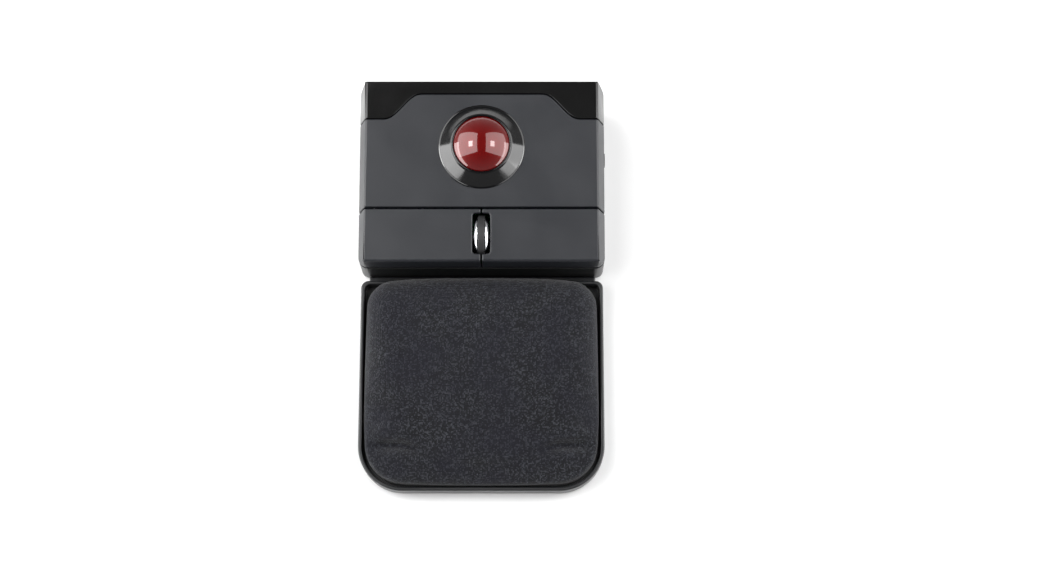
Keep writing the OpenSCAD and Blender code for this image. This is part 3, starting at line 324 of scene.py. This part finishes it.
# %% Slots to finishes
finish_of_slot = {
    "shell_dark": shell_abs, "plate_satin": cover_abs, "key_satin": cover_abs,
    "trim_gloss": gloss_abs, "ring_gloss": ring_abs, "ball_red": red_abs,
    "tray_gloss": tray_abs, "inner_black": inner_abs, "rubber_black": silicone,
    "tyre_rubber": silicone, "bright_rim": chrome, "steel": steel, "nickel": bright_nickel,
    "gold_contact": gold, "board_green": board_lacquer, "lens_clear": acrylic,
    "plunger_red": red_abs, "cell_wrap": wrap_pvc, "pad_fabric": inner_abs,
    "foam_grey": foam, "tongue_white": inner_abs,
}
for name, solid in frame["nodes"].items():
    solid.material_slots[0].material = finish_of_slot[slots[name]]
print("finishes on", len(frame["nodes"]), "solids")

# %% [markdown]
# ## Moulded covers with real edges
#
# A moulded edge is never sharp: a radius of a few tenths of a millimetre catches a line of
# light. A copy of the solid is merged, its flat faces are joined, and a Bevel modifier rounds
# each outer edge. An edge beside a narrow face gets a smaller radius, through its bevel weight,
# so the modifier's own clamp, which shrinks every edge alike, can stay off. The lower shell has
# the smallest radius of the big pieces, because the seats in its floor lie close together.
# Weighted normals keep the flats flat.


# %% Copies with rounded edges
def apply_modifiers(piece):
    """Turns a piece and its modifiers into a plain mesh."""
    bpy.context.view_layer.update()
    graph = bpy.context.evaluated_depsgraph_get()
    mesh = bpy.data.meshes.new_from_object(piece.evaluated_get(graph))
    piece.modifiers.clear()
    piece.data = mesh
    return piece


def link_piece(name, mesh, finish):
    """An object at the origin with its finish."""
    piece = bpy.data.objects.new(name, mesh)
    if not mesh.materials:
        mesh.materials.append(finish)
    mesh.materials[0] = finish
    bpy.context.scene.collection.objects.link(piece)
    return piece


same_place = 0.002 * mm
shortest_edge = 0.04 * mm
flat = math.radians(0.6)
outer_edge = math.radians(30)


def merged_copy(node):
    """A solid's mesh with its doubles merged and its flat triangles joined."""
    mesh = frame["nodes"][node].data.copy()
    shape = bmesh.new()
    shape.from_mesh(mesh)
    bmesh.ops.remove_doubles(shape, verts=shape.verts, dist=same_place)
    bmesh.ops.dissolve_limit(shape, angle_limit=flat, verts=shape.verts, edges=shape.edges)
    bmesh.ops.dissolve_degenerate(shape, dist=shortest_edge, edges=shape.edges)
    shape.to_mesh(mesh)
    shape.free()
    return mesh


def face_depth(face, edge):
    """How far a face reaches from one of its edges."""
    start = edge.verts[0].co
    along = (edge.verts[1].co - start).normalized()
    return max((v.co - start - along * (v.co - start).dot(along)).length for v in face.verts)


def weigh_edges(mesh, radius):
    """Marks the outer edges for the Bevel modifier, less where a face beside one is narrow."""
    shape = bmesh.new()
    shape.from_mesh(mesh)
    weight = shape.edges.layers.float.new("bevel_weight_edge")
    for edge in shape.edges:
        if len(edge.link_faces) == 2 and edge.calc_face_angle_signed() > outer_edge:
            room = min(face_depth(face, edge) for face in edge.link_faces)
            edge[weight] = min(1.0, room / (2.5 * radius))
    marked = sum(edge[weight] > 0 for edge in shape.edges)
    shape.to_mesh(mesh)
    shape.free()
    return marked


def smooth_below(mesh, degrees):
    """Smooth shading over every edge that is flatter than that."""
    mesh.polygons.foreach_set("use_smooth", [True] * len(mesh.polygons))
    mesh.set_sharp_from_angle(angle=math.radians(degrees))


def rounded_cover(node, edge_mm, finish, name):
    """A copy of a solid with rounded edges, in place of the solid."""
    piece = link_piece(name, merged_copy(node), finish)
    weigh_edges(piece.data, edge_mm * mm)
    edge = piece.modifiers.new("edge radius", "BEVEL")
    edge.width = edge_mm * mm
    edge.segments = 3
    edge.limit_method = "WEIGHT"
    edge.use_clamp_overlap = False
    apply_modifiers(piece)
    smooth_below(piece.data, 33)
    even = piece.modifiers.new("even normals", "WEIGHTED_NORMAL")
    even.keep_sharp = True
    apply_modifiers(piece)
    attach(piece, body_of[node])
    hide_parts(node)
    return piece


covers = [
    rounded_cover("top_cover", 0.4, cover_abs, "cover_plate"),
    rounded_cover("left_button", 0.45, cover_abs, "left_key_cap"),
    rounded_cover("right_button", 0.45, cover_abs, "right_key_cap"),
    rounded_cover("rear_trim", 0.28, gloss_abs, "gloss_rear"),
    rounded_cover("bottom_shell", 0.14, shell_abs, "lower_shell"),
    rounded_cover("rest_tray", 0.5, tray_abs, "tray"),
    rounded_cover("battery_door", 0.2, shell_abs, "battery_hatch"),
    rounded_cover("side_button", 0.2, gloss_abs, "pairing_button"),
    rounded_cover("receiver_cap", 0.12, gloss_abs, "dongle_cap"),
    rounded_cover("receiver_plug", 0.08, bright_nickel, "dongle_shell"),
]
print({c.name: len(c.data.polygons) for c in covers})

# %% [markdown]
# ## The ball and its ring
#
# The ball is cast resin, polished and lacquered. It is made from an icosphere, which has no
# poles to pinch a reflection. The ring is round: its section is a short list of points, and a
# lathe function carries them round the axis, which leans with the sloping top plate.

# %% Cast resin and a lathe
def cast_resin():
    """Deep red phenolic resin: a faint swirl in the colour, and a lacquer as smooth as glass."""
    material, tree, shader, place = new_finish("red cast resin, lacquered")
    swirl = add(tree, "ShaderNodeTexNoise", {"Vector": place, "Scale": per(7), "Detail": 3})
    tone = add(tree, "ShaderNodeMix", {0: swirl.outputs[0], 6: linear("#470001"),
                                       7: linear("#570102")}, data_type="RGBA")
    tree.links.new(tone.outputs[2], shader.inputs["Base Color"])
    shader.inputs["Roughness"].default_value = 0.3
    shader.inputs["IOR"].default_value = 1.45
    shader.inputs["Specular Tint"].default_value = linear("#ff5a50")
    shader.inputs["Coat Weight"].default_value = 1.0
    shader.inputs["Coat Roughness"].default_value = 0.03
    shader.inputs["Coat IOR"].default_value = 1.65
    return material


def lathe(name, section, steps, place, finish):
    """Carries a section of (radius, height) points in mm round the Z axis, then to its place."""
    shape = bmesh.new()
    rings = []
    for step in range(steps):
        turn = 2 * math.pi * step / steps
        rings.append([shape.verts.new(place @ Vector((r * mm * math.cos(turn),
                                                      r * mm * math.sin(turn), h * mm)))
                      for r, h in section])
    for step in range(steps):
        here, there = rings[step], rings[(step + 1) % steps]
        for k in range(len(section)):
            n = (k + 1) % len(section)
            shape.faces.new((here[k], there[k], there[n], here[n]))
    bmesh.ops.recalc_face_normals(shape, faces=shape.faces)
    mesh = bpy.data.meshes.new(name)
    shape.to_mesh(mesh)
    shape.free()
    piece = link_piece(name, mesh, finish)
    smooth_below(mesh, 32)
    return piece


def rounded_section(points, radius, steps=4):
    """The same section with every corner rounded; a corner's own radius may be given third."""
    out = []
    for i, point in enumerate(points):
        before, after = points[i - 1], points[(i + 1) % len(points)]
        here = Vector(point[:2])
        back, ahead = Vector(before[:2]) - here, Vector(after[:2]) - here
        r = point[2] if len(point) > 2 else radius
        reach = min(r, back.length * 0.45, ahead.length * 0.45)
        a, b = here + back.normalized() * reach, here + ahead.normalized() * reach
        for s in range(steps + 1):
            t = s / steps
            out.append(tuple((1 - t) ** 2 * a + 2 * t * (1 - t) * here + t ** 2 * b))
    return out


resin = cast_resin()
print("lathe ready,", resin.name)

# %% Ball
ball_low, ball_high = (Vector(p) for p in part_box("ball_coat"))
ball_centre = (ball_low + ball_high) / 2
ball_r = (ball_high.z - ball_low.z) / 2
sphere = bmesh.new()
bmesh.ops.create_icosphere(sphere, subdivisions=6, radius=ball_r)
bmesh.ops.translate(sphere, verts=sphere.verts, vec=ball_centre)
ball_mesh = bpy.data.meshes.new("ball")
sphere.to_mesh(ball_mesh)
sphere.free()
smooth_below(ball_mesh, 60)
ball = link_piece("ball", ball_mesh, resin)
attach(ball, body_of["ball_coat"])
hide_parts("ball_coat")
print("ball", round(2 * ball_r / mm, 2), "mm across")

# %% Ring
lean = math.radians(3.5)
ring_place = Matrix.Translation(ball_centre) @ Matrix.Rotation(lean, 4, "X")
# The section starts inside at the bottom, 0.3 mm off the ball, and runs up to the lip that
# holds it, down the bevel to the flange, and under that to the neck. Radii and heights are in mm.
hold, clear = math.radians(43), ball_r / mm + 0.3
lip_r, lip_h = clear * math.cos(hold), clear * math.sin(hold)
flange_r, neck_r, neck_l, rise = 14.3, 13.5, 3.1, 4.17
foot = lip_h - rise
inside = [(clear * math.cos(a), clear * math.sin(a)) for a in (0.12, 0.25, 0.38, 0.51, 0.64)]
ring_section = rounded_section(inside + [
    (lip_r, lip_h - 0.05, 0.1), (lip_r + 0.4, lip_h, 0.25), (lip_r + 0.9, lip_h - 0.3, 0.3),
    (flange_r - 0.45, foot + 0.35, 0.15), (flange_r, foot + 0.25, 0.1), (flange_r, foot, 0.05),
    (neck_r, foot, 0.05), (neck_r, foot - neck_l)], 0.08)
ring = lathe("bevelled_ring", ring_section, 160, ring_place, ring_abs)
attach(ring, body_of["retaining_ring"])
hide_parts("retaining_ring")
print("ring", [round(v / mm, 1) for v in ring.dimensions])

# %% [markdown]
# ## The scroll wheel
#
# A soft ribbed tyre sits between two bright domed rims. The tyre is a Geometry Nodes shape: a
# rounded band swept round a circle, with one small bar repeated for each rib.

# %% Shape trees
def shape_tree(name, sizes):
    """A Geometry Nodes tree with named inputs and one mesh output."""
    tree = bpy.data.node_groups.new(name, "GeometryNodeTree")
    for label, kind in sizes.items():
        tree.interface.new_socket(name=label, in_out="INPUT", socket_type="NodeSocket" + kind)
    tree.interface.new_socket(name="Mesh", in_out="OUTPUT", socket_type="NodeSocketGeometry")
    return tree, add(tree, "NodeGroupInput").outputs


def end_tree(tree, shape, finish):
    """Makes instances real, gives the finish and ends the tree."""
    real = add(tree, "GeometryNodeRealizeInstances", {0: shape}).outputs[0]
    done = add(tree, "GeometryNodeSetMaterial", {0: real, "Material": finish}).outputs[0]
    add(tree, "NodeGroupOutput", {0: done})


def grow(name, tree, values, finish, body, points=()):
    """Runs a tree on an object with its inputs set, and keeps the result as a plain mesh."""
    mesh = bpy.data.meshes.new(name)
    mesh.from_pydata(points, [], [])
    piece = link_piece(name, mesh, finish)
    growth = piece.modifiers.new(tree.name, "NODES")
    growth.node_group = tree
    for socket in tree.interface.items_tree:
        if socket.in_out == "INPUT" and socket.name in values:
            growth[socket.identifier] = values[socket.name]
    apply_modifiers(piece)
    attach(piece, body)
    return piece


print("shape trees ready")


# %% Tyre
def tyre_tree(finish):
    """A rounded band round a circle, with a bar on each of the evenly spaced rib places."""
    tree, size = shape_tree("ribbed tyre", {
        "Radius": "Float", "Width": "Float", "Thickness": "Float", "Ribs": "Int",
        "Rib radius": "Float", "Centre": "Vector"})
    mid = add(tree, "ShaderNodeMath", {0: size["Thickness"], 1: 0.5}, operation="MULTIPLY")
    middle = add(tree, "ShaderNodeMath", {0: size["Radius"], 1: mid.outputs[0]},
                 operation="SUBTRACT")
    circle = add(tree, "GeometryNodeCurvePrimitiveCircle",
                 {"Resolution": 144, "Radius": middle.outputs[0]}).outputs[0]
    section = add(tree, "GeometryNodeCurvePrimitiveQuadrilateral",
                  {"Width": size["Thickness"], "Height": size["Width"]}).outputs[0]
    soft = add(tree, "GeometryNodeFilletCurve", {0: section, "Count": 4,
                                                 "Radius": 0.3 * mm}, mode="POLY").outputs[0]
    band = add(tree, "GeometryNodeCurveToMesh", {0: circle, 1: soft}).outputs[0]
    crest = add(tree, "ShaderNodeMath", {0: size["Radius"], 1: size["Rib radius"]},
                operation="SUBTRACT")
    rim = add(tree, "GeometryNodeCurvePrimitiveCircle",
              {"Resolution": size["Ribs"], "Radius": crest.outputs[0]}).outputs[0]
    bar = add(tree, "GeometryNodeMeshCylinder", {"Vertices": 10, "Radius": size["Rib radius"],
                                                 "Depth": size["Width"]}).outputs[0]
    spots = add(tree, "GeometryNodeCurveToPoints", {0: rim}, mode="EVALUATED").outputs[0]
    ribs = add(tree, "GeometryNodeInstanceOnPoints", {0: spots, "Instance": bar}).outputs[0]
    both = add(tree, "GeometryNodeJoinGeometry")
    tree.links.new(band, both.inputs[0])
    tree.links.new(ribs, both.inputs[0])
    placed = add(tree, "GeometryNodeTransform",
                 {0: both.outputs[0], "Translation": size["Centre"],
                  "Rotation": (0, math.pi / 2, 0)}).outputs[0]
    end_tree(tree, placed, finish)
    return tree


tyre_low, tyre_high = (Vector(p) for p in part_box("wheel_tyre"))
wheel_centre = (tyre_low + tyre_high) / 2
wheel_r = (tyre_high.z - tyre_low.z) / 2
tyre_w = tyre_high.x - tyre_low.x
tyre = grow("wheel_tyre_ribbed", tyre_tree(silicone), {
    "Radius": wheel_r, "Width": tyre_w, "Thickness": 1.3 * mm, "Ribs": 48,
    "Rib radius": 0.24 * mm, "Centre": wheel_centre}, silicone, body_of["wheel_tyre"])
smooth_below(tyre.data, 40)
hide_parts("wheel_tyre")
print("tyre", [round(v / mm, 1) for v in tyre.dimensions], len(tyre.data.polygons), "faces")

# %% Bright rims
hub_low, hub_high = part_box("wheel_hub")
rim_w = (hub_high[0] - hub_low[0]) / 2 / mm
tread = wheel_r / mm - 0.35
half = tyre_w / mm / 2 + 0.02
flank = [(1.02, rim_w), (2.1, rim_w), (2.5, rim_w - 0.75), (tread - 3.0, rim_w - 0.75),
         (tread - 2.5, rim_w), (tread - 1.2, rim_w), (tread - 0.5, rim_w - 0.35),
         (tread - 0.05, half + 0.35), (tread - 0.2, half), (tread - 0.97, half)]
hub_section = rounded_section(flank + [(r, -h) for r, h in reversed(flank)], 0.14)
wheel_place = Matrix.Translation(wheel_centre) @ Matrix.Rotation(math.pi / 2, 4, "Y")
hub = lathe("wheel_rims", hub_section, 128, wheel_place, chrome)
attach(hub, body_of["wheel_hub"])
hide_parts("wheel_hub")
print("rims", [round(v / mm, 1) for v in hub.dimensions])

# %% [markdown]
# ## Screws and the battery spring
#
# Fourteen small screws hold the mouse together. One tree makes a screw, with a rounded pan head,
# a cross recess and a wound thread, and sets one on every point it is given. The spring is a
# spiral curve with a round section.

# %% Screws
def screw_tree(finish):
    """A pan head with a cross cut into it, a core and a wound thread, set on every point."""
    tree, size = shape_tree("pan head screw", {
        "Points": "Geometry", "Head radius": "Float", "Head height": "Float",
        "Length": "Float", "Shaft radius": "Float", "Pitch": "Float", "Turn": "Vector"})
    half_head = add(tree, "ShaderNodeMath", {0: size["Head height"], 1: 0.5},
                    operation="MULTIPLY").outputs[0]
    lift = add(tree, "ShaderNodeCombineXYZ", {"Z": half_head}).outputs[0]
    head = add(tree, "GeometryNodeMeshCylinder", {"Vertices": 40, "Radius": size["Head radius"],
                                                  "Depth": size["Head height"]}).outputs[0]
    head = add(tree, "GeometryNodeTransform", {0: head, "Translation": lift}).outputs[0]
    long_bar = add(tree, "GeometryNodeMeshCube", {"Size": (2.2 * mm, 0.5 * mm, 1.6 * mm)})
    cross_bar = add(tree, "GeometryNodeTransform",
                    {0: long_bar.outputs[0], "Rotation": (0, 0, math.pi / 2)})
    cut = add(tree, "GeometryNodeMeshBoolean", {0: head}, operation="DIFFERENCE")
    tree.links.new(long_bar.outputs[0], cut.inputs[1])
    tree.links.new(cross_bar.outputs[0], cut.inputs[1])
    shaft_l = add(tree, "ShaderNodeMath", {0: size["Length"], 1: size["Head height"]},
                  operation="SUBTRACT").outputs[0]
    half_l = add(tree, "ShaderNodeMath", {0: shaft_l, 1: 0.5}, operation="MULTIPLY").outputs[0]
    up = add(tree, "ShaderNodeMath", {0: half_l, 1: size["Head height"]}).outputs[0]
    core_r = add(tree, "ShaderNodeMath", {0: size["Shaft radius"], 1: 0.16 * mm},
                 operation="SUBTRACT").outputs[0]
    core = add(tree, "GeometryNodeMeshCylinder", {"Vertices": 24, "Radius": core_r,
                                                  "Depth": shaft_l}).outputs[0]
    core = add(tree, "GeometryNodeTransform", {
        0: core, "Translation": add(tree, "ShaderNodeCombineXYZ", {"Z": up}).outputs[0]})
    turns = add(tree, "ShaderNodeMath", {0: shaft_l, 1: size["Pitch"]}, operation="DIVIDE")
    coil_l = add(tree, "ShaderNodeMath", {0: shaft_l, 1: 0.4 * mm}, operation="SUBTRACT")
    coil = add(tree, "GeometryNodeCurveSpiral", {
        "Resolution": 18, "Rotations": turns.outputs[0], "Start Radius": core_r,
        "End Radius": core_r, "Height": coil_l.outputs[0]}).outputs[0]
    ridge = add(tree, "GeometryNodeCurvePrimitiveCircle", {"Resolution": 4,
                                                           "Radius": 0.16 * mm}).outputs[0]
    thread = add(tree, "GeometryNodeCurveToMesh", {0: coil, 1: ridge,
                                                   "Fill Caps": True}).outputs[0]
    start = add(tree, "ShaderNodeMath", {0: size["Head height"], 1: 0.2 * mm}).outputs[0]
    thread = add(tree, "GeometryNodeTransform", {
        0: thread, "Translation": add(tree, "ShaderNodeCombineXYZ", {"Z": start}).outputs[0]})
    screw = add(tree, "GeometryNodeJoinGeometry")
    for part in (cut.outputs[0], core.outputs[0], thread.outputs[0]):
        tree.links.new(part, screw.inputs[0])
    spots = add(tree, "GeometryNodeInstanceOnPoints", {
        0: add(tree, "GeometryNodeMeshToPoints", {0: size["Points"]}).outputs[0],
        "Instance": screw.outputs[0],
        "Rotation": add(tree, "FunctionNodeEulerToRotation", {0: size["Turn"]}).outputs[0]})
    end_tree(tree, spots.outputs[0], finish)
    return tree


def islands(node):
    """The box of each loose part of a solid: its lowest and highest corner."""
    shape = bmesh.new()
    shape.from_mesh(frame["nodes"][node].data)
    bmesh.ops.remove_doubles(shape, verts=shape.verts, dist=same_place)
    boxes, seen = [], set()
    for vert in shape.verts:
        if vert in seen:
            continue
        heap, part = [vert], []
        seen.add(vert)
        while heap:
            here = heap.pop()
            part.append(here.co.copy())
            for edge in here.link_edges:
                other = edge.other_vert(here)
                if other not in seen:
                    seen.add(other)
                    heap.append(other)
        boxes.append(tuple(Vector([pick(p[k] for p in part) for k in range(3)])
                           for pick in (min, max)))
    shape.free()
    return boxes


screws = screw_tree(steel)
cup_screw_l = 4.4 * mm
# The name of each set, its solid, and the turn about X from a screw that points up.
screw_sets = [("case_screw_set", "case_screws", 0.0), ("rest_screw_set", "rest_screws", 0.0),
              ("board_screw_set", "board_screws", math.pi), ("cup_screw_set", "cup_screws", lean)]
for name, node, turn in screw_sets:
    spots = []
    for low, high in islands(node):
        spot = (low + high) / 2
        spot.z = high.z if turn > 1 else low.z
        if node == "cup_screws":
            axis = Vector((0, -math.sin(lean), math.cos(lean)))
            spot = (low + high) / 2 - axis * cup_screw_l / 2
        spots.append(spot)
    length = high.z - low.z if node != "cup_screws" else cup_screw_l
    piece = grow(name, screws, {"Head radius": 1.88 * mm, "Head height": 1.4 * mm,
                                "Length": length, "Shaft radius": 1.0 * mm, "Pitch": 0.7 * mm,
                                "Turn": (turn, 0, 0)}, steel, body_of[node], spots)
    smooth_below(piece.data, 30)
    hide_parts(node)
    print(name, len(spots), "screws of", round(length / mm, 1), "mm")


# %% Battery spring
def spring_tree(finish):
    """A wire wound from a wide turn to a narrow one."""
    tree, size = shape_tree("conical spring", {
        "Turns": "Float", "Wide": "Float", "Narrow": "Float", "Length": "Float",
        "Wire": "Float", "Place": "Vector"})
    coil = add(tree, "GeometryNodeCurveSpiral", {
        "Resolution": 40, "Rotations": size["Turns"], "Start Radius": size["Wide"],
        "End Radius": size["Narrow"], "Height": size["Length"]}).outputs[0]
    wire = add(tree, "GeometryNodeCurvePrimitiveCircle", {"Resolution": 12,
                                                          "Radius": size["Wire"]}).outputs[0]
    swept = add(tree, "GeometryNodeCurveToMesh", {0: coil, 1: wire, "Fill Caps": True})
    placed = add(tree, "GeometryNodeTransform", {
        0: swept.outputs[0], "Translation": size["Place"], "Rotation": (-math.pi / 2, 0, 0)})
    end_tree(tree, placed.outputs[0], finish)
    return tree


spring_low, spring_high = (Vector(p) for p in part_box("battery_spring"))
wire_r = 0.35 * mm
spring_place = (spring_low + spring_high) / 2
spring_place.y = spring_low.y + wire_r
spring = grow("contact_spring", spring_tree(steel), {
    "Turns": 3.0, "Wide": 4.6 * mm, "Narrow": 2.8 * mm,
    "Length": spring_high.y - spring_low.y - 2 * wire_r, "Wire": wire_r,
    "Place": spring_place}, steel, body_of["battery_spring"])
smooth_below(spring.data, 40)
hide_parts("battery_spring")
print("spring", [round(v / mm, 1) for v in spring.dimensions])

# %% [markdown]
# ## The wrist pad
#
# Foam under a stretched knit. It is highest near the mouse, slopes down towards the user, and
# folds into a smile-shaped crease over a low front lip. The shape starts as rings of one rounded
# outline, a little small; cloth under pressure swells it and takes the stiffness out of it; the
# crease comes last, because a remesh would lose it.


# %% Knit fabric
def knit():
    """Polyester jersey, black with a grey fleck, drawn a little coarser than its real loops."""
    material, tree, shader, place = new_finish("heathered polyester knit")
    loops = add(tree, "ShaderNodeTexVoronoi", {"Vector": place, "Scale": per(0.42),
                                               "Randomness": 0.4})
    dye = add(tree, "ShaderNodeSeparateColor", {0: loops.outputs["Color"]})
    fleck = add(tree, "ShaderNodeMapRange", {0: dye.outputs[0], 1: 0.45, 2: 1.0},
                interpolation_type="SMOOTHSTEP")
    yarn = add(tree, "ShaderNodeTexNoise", {"Vector": place, "Scale": per(0.9), "Detail": 3})
    mixed = add(tree, "ShaderNodeMath", {0: fleck.outputs[0], 1: yarn.outputs[0]},
                operation="MULTIPLY")
    tone = add(tree, "ShaderNodeMix", {0: mixed.outputs[0], 6: linear("#0a0b0f"),
                                       7: linear("#404248")}, data_type="RGBA")
    cloud = add(tree, "ShaderNodeTexNoise", {"Vector": place, "Scale": per(14), "Detail": 3})
    hue = add(tree, "ShaderNodeMapRange", {0: cloud.outputs[0], 1: 0.35, 2: 0.65,
                                           3: 0.0, 4: 0.5})
    cast = add(tree, "ShaderNodeMix", {0: hue.outputs[0], 6: tone.outputs[2],
                                       7: linear("#0f0f1a")}, data_type="RGBA")
    relief = add(tree, "ShaderNodeBump", {"Height": loops.outputs["Distance"],
                                          "Strength": 1.0, "Distance": 0.2 * mm},
                 invert=True)
    tree.links.new(cast.outputs[2], shader.inputs["Base Color"])
    tree.links.new(relief.outputs[0], shader.inputs["Normal"])
    shader.inputs["Roughness"].default_value = 0.9
    shader.inputs["Specular IOR Level"].default_value = 0.2
    shader.inputs["Sheen Weight"].default_value = 0.12
    shader.inputs["Sheen Roughness"].default_value = 0.5
    return material


fabric = knit()
print("fabric:", fabric.name)

# %% Pad shape
pad_low, pad_high = (Vector(p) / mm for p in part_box("pad_cover"))
swell = 2.6  # how far the back edge stands over the rim of the tray
pad_w, pad_l = pad_high.x - pad_low.x, pad_high.y - pad_low.y - swell
pad_y = pad_low.y + pad_l / 2
rim_z = 7.5  # height of the tray's rim
border_z, lip_z = rim_z + 2.0, rim_z + 5.2
front_r, rear_r = 13.2, 7.0
shoulder_w = 11  # how far from the border the cushion reaches its full height


def ease(t):
    t = max(0.0, min(1.0, t))
    return (1 - math.cos(math.pi * t)) / 2


def crease_y(x):
    """The crease, measured from the middle of the pad: it curls back at both ends."""
    return -pad_l / 2 + 5.8 + 7.2 * ease((abs(x) - 6) / 22)


def crown_z(x, y):
    """Height of the cushion: low lip, then a long rise to the back."""
    rise = ease((y - crease_y(x)) / 30)
    sag = 0.9 + 0.1 * math.cos(math.pi / 2 * min(1, abs(2 * x / pad_w)))
    return lip_z + (pad_high.z - lip_z) * rise * sag


def swollen(x, y):
    """How far the back edge swells over the rim of the tray, most of all in the middle."""
    return swell * max(0, 2 * y / pad_l) ** 8 * max(0, 1 - (2 * x / pad_w) ** 4)


def outline(count=16):
    """One rounded outline about the middle, small corners behind and large ones in front."""
    w, l = pad_w / 2, pad_l / 2
    corners = [(w - front_r, front_r - l, front_r, -90), (w - rear_r, l - rear_r, rear_r, 0),
               (rear_r - w, l - rear_r, rear_r, 90), (front_r - w, front_r - l, front_r, 180)]
    points = []
    for cx, cy, r, start in corners:
        for k in range(count + 1):
            turn = math.radians(start + 90 * k / count)
            points.append((cx + r * math.cos(turn), cy + r * math.sin(turn)))
    dense = []
    for a, b in zip(points, points[1:] + points[:1]):
        pieces = max(1, round(math.dist(a, b) / 2))
        dense += [(a[0] + (b[0] - a[0]) * k / pieces, a[1] + (b[1] - a[1]) * k / pieces)
                  for k in range(pieces)]
    return dense


def pad_blank(shrink):
    """Rings of the outline from the top's middle to the border, then straight down."""
    steps = [0.08, 0.16, 0.24, 0.32, 0.4, 0.48, 0.55, 0.62, 0.68, 0.73, 0.78, 0.82, 0.86, 0.89,
             0.92, 0.945, 0.965, 0.98, 0.99, 0.997, 1.0]
    shape = bmesh.new()
    rings = []
    for t in steps:
        ring = []
        for x, y in outline():
            k = t * (1 - 2 * shrink / pad_w)
            depth = min(1, (1 - t) * pad_w / 2 / shoulder_w)
            shoulder = math.sqrt(1 - (1 - depth) ** 2)
            z = border_z + (crown_z(x * t, y * t) - border_z) * shoulder - shrink
            place = Vector((x * k, pad_y + y * k + swollen(x * t, y * t), z))
            ring.append(shape.verts.new(place * mm))
        rings.append(ring)
    k = 1 - 2 * shrink / pad_w
    for z in (rim_z + 0.4, pad_low.z + 0.1):
        rings.append([shape.verts.new(Vector((x * k, pad_y + y * k, z)) * mm)
                      for x, y in outline()])
    for upper, lower in zip(rings, rings[1:]):
        for i in range(len(upper)):
            n = (i + 1) % len(upper)
            shape.faces.new((upper[i], lower[i], lower[n], upper[n]))
    shape.faces.new(rings[0])
    shape.faces.new(reversed(rings[-1]))
    bmesh.ops.triangulate(shape, faces=[f for f in shape.faces if len(f.verts) > 4])
    bmesh.ops.recalc_face_normals(shape, faces=shape.faces)
    mesh = bpy.data.meshes.new("pad")
    shape.to_mesh(mesh)
    shape.free()
    return mesh


pad = link_piece("wrist_pad", pad_blank(0.5), fabric)
cells = pad.modifiers.new("even cells", "REMESH")
cells.mode = "VOXEL"
cells.voxel_size = 1.0 * mm
apply_modifiers(pad)
print("pad blank:", len(pad.data.vertices), "points")


# %% Cloth under pressure
def inflate(piece, pressure, cap, fixed_below):
    """Swells a closed cloth. No point moves further than the cap; low points are held."""
    before = [v.co.copy() for v in piece.data.vertices]
    held = piece.vertex_groups.new(name="held")
    held.add([v.index for v in piece.data.vertices if v.co.z < fixed_below], 1.0, "REPLACE")
    cloth = piece.modifiers.new("cloth", "CLOTH")
    cloth.settings.use_pressure = True
    cloth.settings.uniform_pressure_force = pressure
    cloth.settings.mass = 0.05
    cloth.settings.tension_stiffness = 8
    cloth.settings.compression_stiffness = 8
    cloth.settings.bending_stiffness = 0.3
    cloth.settings.vertex_group_mass = "held"
    cloth.settings.effector_weights.gravity = 0
    scene = bpy.context.scene
    for step in range(1, 21):
        scene.frame_set(step)
    apply_modifiers(piece)
    scene.frame_set(1)
    piece.vertex_groups.clear()
    for vert, old in zip(piece.data.vertices, before):
        move = vert.co - old
        if move.length > cap:
            vert.co = old + move.normalized() * cap
    return max((v.co - old).length for v, old in zip(piece.data.vertices, before))


moved = inflate(pad, 4.0, 0.7 * mm, (rim_z - 1.5) * mm)
print("cloth moved the pad by up to", round(moved / mm, 2), "mm")

# %% Crease and a last subdivision
# Heights and widths of the fold are in mm. It is deepest near both sides, 28 mm out, where the
# cushion puffs up behind it, and it fades out before the border.
finer = pad.modifiers.new("finer", "SUBSURF")
finer.levels = finer.render_levels = 1
apply_modifiers(pad)
for vert in pad.data.vertices:
    x, y = vert.co.x / mm, vert.co.y / mm - pad_y
    if vert.co.z / mm < rim_z + 1:
        continue
    off = y - crease_y(x)
    side = math.exp(-abs((abs(x) - 28) / 7.0) ** 3)
    fade = ease((pad_w / 2 - abs(x)) / 5)
    width = 1.1 + 0.9 * (1 - side) if off > 0 else 2.4
    dip = (0.75 + 2.0 * side) * math.exp(-((off / width) ** 2))
    puff = 1.1 * side * math.exp(-(((off - 4.0) / 2.6) ** 2))
    vert.co.z += (puff - dip) * fade * mm
smooth_below(pad.data, 180)
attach(pad, body_of["pad_cover"])
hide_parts("pad_cover", "foam_core")
print("pad", [round(v / mm, 1) for v in pad.dimensions], len(pad.data.polygons), "faces")
